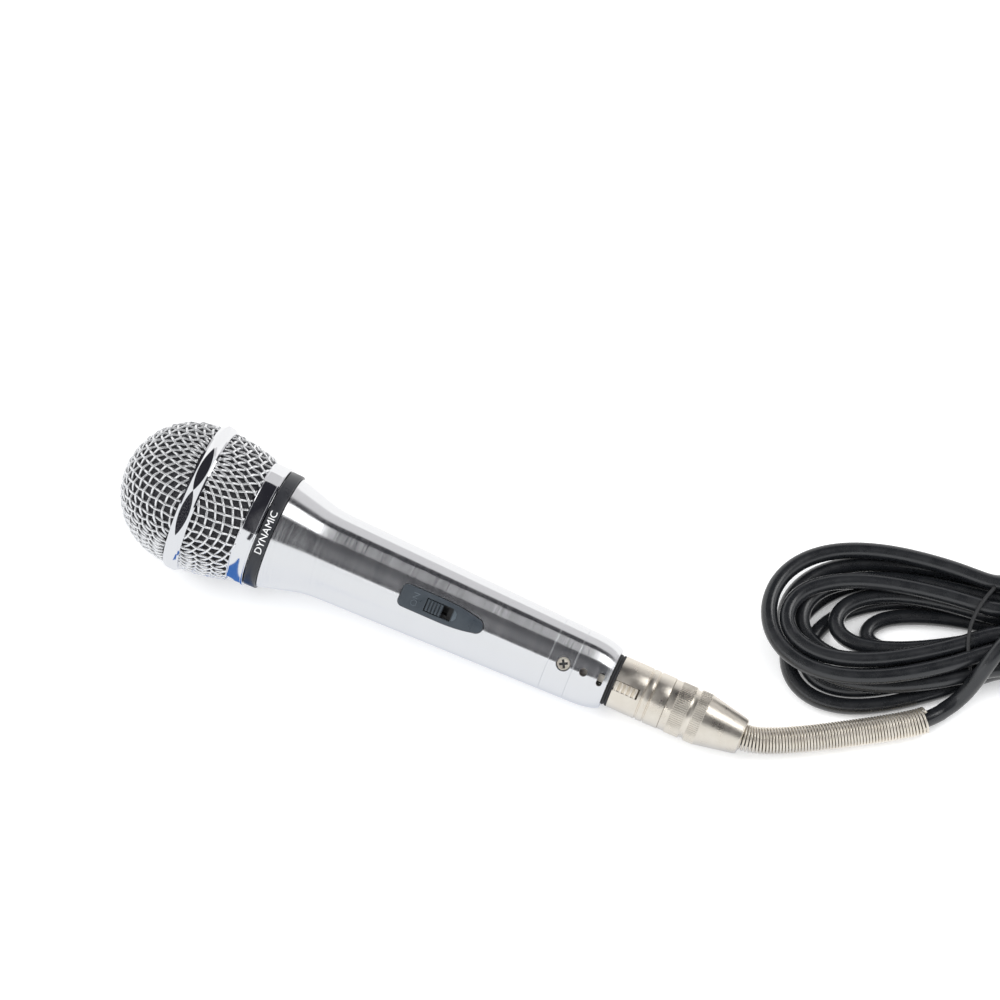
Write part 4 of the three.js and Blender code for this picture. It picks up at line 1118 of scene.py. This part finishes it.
def makeJack(c):
    heading = math.radians(cable["heading"] + 180)
    place = floorPoint((*c["start"], c["barrel"]))
    space = Matrix.Translation(place) @ Matrix.Rotation(heading, 4, "Z") @ Matrix.Scale(mm, 4)
    ribs = []
    for i in range(4):
        x = 1.2 + i * 2.1
        radius = c["reliefStart"] + (c["reliefEnd"] - c["reliefStart"]) * x / c["reliefLength"]
        ribs += [(x, radius), (x + 0.25, radius - 0.45), (x + 0.85, radius - 0.4), (x + 1.1, radius + 0.14)]
    relief = turned([(0, 3.05), (0, c["reliefStart"]), *ribs, (c["reliefLength"], c["reliefEnd"]),
                     (c["reliefLength"], 3.05)], 64)
    finishPiece(bevelSharp(relief, 0.1, 40), "jack_relief_ribbed", "connector", "rubber",
                space, ["jack_relief"])
    b0, b1, r = c["barrelStart"], c["barrelEnd"], c["barrel"]
    low, mouth = r - 0.3, c["contact"] + 0.3
    barrel = turned([(b0, 5), (b0, r - 0.5), (b0 + 0.5, r), (b0 + 3, r), (b0 + 3.2, low), (b0 + 3.9, low),
                     (b0 + 4.1, r), (b1 - 7, r), (b1 - 6.8, low), (b1 - 6.1, low), (b1 - 5.9, r),
                     (b1 - 2, r), (b1, r - 1.2), (b1, mouth), (b1 - 1.4, mouth), (b1 - 1.4, 5)], 96)
    finishPiece(bevelSharp(barrel, 0.12, 40), "jack_barrel_turned", "connector", "nickel", space,
                ["jack_barrel"])
    k = c["contact"]
    sleeve = turned([(33, 1.6), (33, 4.5), (36.3, 4.5), (36.3, k), (c["sleeveEnd"] - 0.2, k),
                     (c["sleeveEnd"], k - 0.15), (c["sleeveEnd"], 1.6)], 64)
    finishPiece(sleeve, "jack_sleeve_turned", "connector", "springNickel", space, ["jack_sleeve"])
    i0, i1 = c["sleeveEnd"] + 0.1, c["insulatorEnd"] + 0.2
    insulator = turned([(i0, 1.6), (i0, k - 0.12), (i1, k - 0.12), (i1, 1.6)], 64)
    finishPiece(insulator, "jack_insulator_ring", "connector", "innerBlack", space,
                ["jack_insulator"])
    t0, t1 = c["tipStart"], c["tipEnd"]
    waist = bezierPoints((t0 + 1, k), (t0 + 2.3, k * 0.45), (t0 + 4, k), 10)
    crown = bezierPoints((t0 + 4, k), (t1 - 2.2, k * 0.8), (t1 - 0.5, 0.9), 8)
    tip = turned([(31, 0), (31, 1.3), (t0, 1.3), (t0, k), *waist, *crown, (t1, 0)], 64, closed=False)
    finishPiece(tip, "jack_tip_turned", "connector", "springNickel", space, ["jack_tip"])


makeSpring(spring)
makeTie(tie)
makeJack(jack)
cablePiece = makeCable()
print("cable made")


# Studio
studio = {
    "floorSize": 6.0, "floorColor": (0.93, 0.93, 0.93), "floorGlow": 0.22,
    "world": (0.97, 0.985, 1.0), "worldStrength": 0.9, "ceiling": 1.1,
    "darkAcross": (-0.96, 1.95), "darkAlong": (-1.5, 1.6), "dark": (0.022, 0.022, 0.028),
    "softAcross": (0.33, 1.15), "softAlong": (0.4, 1.15), "softPower": 5.0,
    "facetAlong": (-0.107, -0.083), "facetAcross": (-0.16, -0.1), "facetHeight": 0.14,
    "bluePlace": (-0.0824, -0.134, -0.0003), "blueAngle": -0.1645, "blueHalf": (0.0048, 0.116),
    "blue": (0.06, 0.165, 0.47), "wallAcross": 2.3, "wall": (0.66, 0.655, 0.665),
    "lights": {"key": ((-0.6, -0.5, 1.5), 1.2, 12), "fill": ((0.9, 0.7, 1.6), 1.4, 8)},
}


def stagePlane(name, matrix, material, onlyReflected=True):
    # a two metre square; reflected cards show only in shiny things
    bm = bmesh.new()
    bmesh.ops.create_grid(bm, x_segments=1, y_segments=1, size=1, matrix=matrix)
    made = bmObject(bm, name)
    made.data.materials.append(material)
    if onlyReflected:
        made.visible_camera = made.visible_shadow = made.visible_diffuse = made.visible_transmission = False
    return made


def glowing(name, color):
    material = bpy.data.materials.new(name)
    material.use_nodes = True
    tree = material.node_tree
    tree.nodes.remove(tree.nodes["Principled BSDF"])
    glow = tree.nodes.new("ShaderNodeEmission")
    glow.inputs["Color"].default_value = (*color, 1)
    tree.links.new(glow.outputs["Emission"], tree.nodes["Material Output"].inputs["Surface"])
    return material, tree, glow


def reflectedFloor():
    # what polished metal shows of the table: a glowing sheet with painted shade, darker and bluish along the
    # microphone
    material, tree, glow = glowing("paintedTableReflection", (1, 1, 1))
    coordinates = tree.nodes.new("ShaderNodeTexCoord")
    split = tree.nodes.new("ShaderNodeSeparateXYZ")
    tree.links.new(coordinates.outputs["Object"], split.inputs["Vector"])
    # painted shade: the table's reflection turns dark blue-grey in a strip along the microphone
    across = rampNode(tree, split.outputs["Y"], -0.06, 0.06, [
        (0.0, (0.87, 0.885, 0.905)), (0.3, (0.85, 0.865, 0.89)), (0.46, (0.58, 0.61, 0.68)),
        (0.6, (1.02, 1.02, 1.02))])
    tree.links.new(across, glow.inputs["Color"])
    return material


def rampNode(tree, value, low, high, stops):
    fade = tree.nodes.new("ShaderNodeMapRange")
    fade.inputs["From Min"].default_value, fade.inputs["From Max"].default_value = low, high
    tree.links.new(value, fade.inputs["Value"])
    ramp = tree.nodes.new("ShaderNodeValToRGB")
    setRamp(ramp, stops)
    tree.links.new(fade.outputs["Result"], ramp.inputs["Fac"])
    return ramp.outputs["Color"]


def cardMatrix(along, across, height):
    middle = Vector(((along[0] + along[1]) / 2, (across[0] + across[1]) / 2, height))
    half = ((along[1] - along[0]) / 2, (across[1] - across[0]) / 2)
    return Matrix.Translation(middle) @ Matrix.Diagonal((*half, 1, 1))


def areaLight(name, place, target, size, power):
    data = bpy.data.lights.new(name, "AREA")
    data.shape, data.energy = "RECTANGLE", power
    data.size, data.size_y = size
    lamp = newObject(name, data)
    turn = (Vector(target) - Vector(place)).to_track_quat("-Z", "Y").to_matrix().to_4x4()
    lamp.matrix_world = Matrix.Translation(place) @ turn


def makeStudio(c):
    floor = floorFinish(c["floorColor"])
    shader = floor.node_tree.nodes["Principled BSDF"]
    shader.inputs["Emission Color"].default_value = (1, 1, 1, 1)
    shader.inputs["Emission Strength"].default_value = c["floorGlow"]
    size = Matrix.Scale(c["floorSize"], 4)
    table = stagePlane("studio_floor", Matrix.Translation((0, 0, -0.0002)) @ size, floor, False)
    table.visible_glossy = False
    stagePlane("reflected_table", Matrix.Translation((0, 0, -0.0004)) @ size, reflectedFloor())
    dark = cardMatrix(c["darkAlong"], c["darkAcross"], c["ceiling"])
    stagePlane("dark_card", dark, glowing("darkCard", c["dark"])[0])
    facet = cardMatrix(c["facetAlong"], c["facetAcross"], c["facetHeight"])
    stagePlane("facet_card", facet, glowing("facetCard", c["dark"])[0])
    turn = Matrix.Translation(c["bluePlace"]) @ Matrix.Rotation(c["blueAngle"], 4, "Z")
    stagePlane("blue_card", turn @ Matrix.Diagonal((*c["blueHalf"], 1, 1)), glowing("blueCard", c["blue"])[0])
    turn = Matrix.Translation((0, c["wallAcross"], 0.5)) @ Matrix.Rotation(math.radians(90), 4, "X")
    stagePlane("far_wall", turn @ Matrix.Diagonal((3, 1, 1, 1)), glowing("farWall", c["wall"])[0])
    world = bpy.data.worlds.new("studio")
    world.use_nodes = True
    background = world.node_tree.nodes["Background"]
    background.inputs["Color"].default_value = (*c["world"], 1)
    background.inputs["Strength"].default_value = c["worldStrength"]
    bpy.context.scene.world = world
    softX, softY = sum(c["softAlong"]) / 2, sum(c["softAcross"]) / 2
    softSize = (c["softAlong"][1] - c["softAlong"][0], c["softAcross"][1] - c["softAcross"][0])
    areaLight("softbox", (softX, softY, c["ceiling"] - 0.02), (softX, softY, 0), softSize, c["softPower"])
    for name, (place, side, power) in c["lights"].items():
        areaLight(name, place, (0, 0, 0), (side, side), power)
    bpy.context.scene.view_settings.view_transform = "Standard"


makeStudio(studio)
print("studio made")
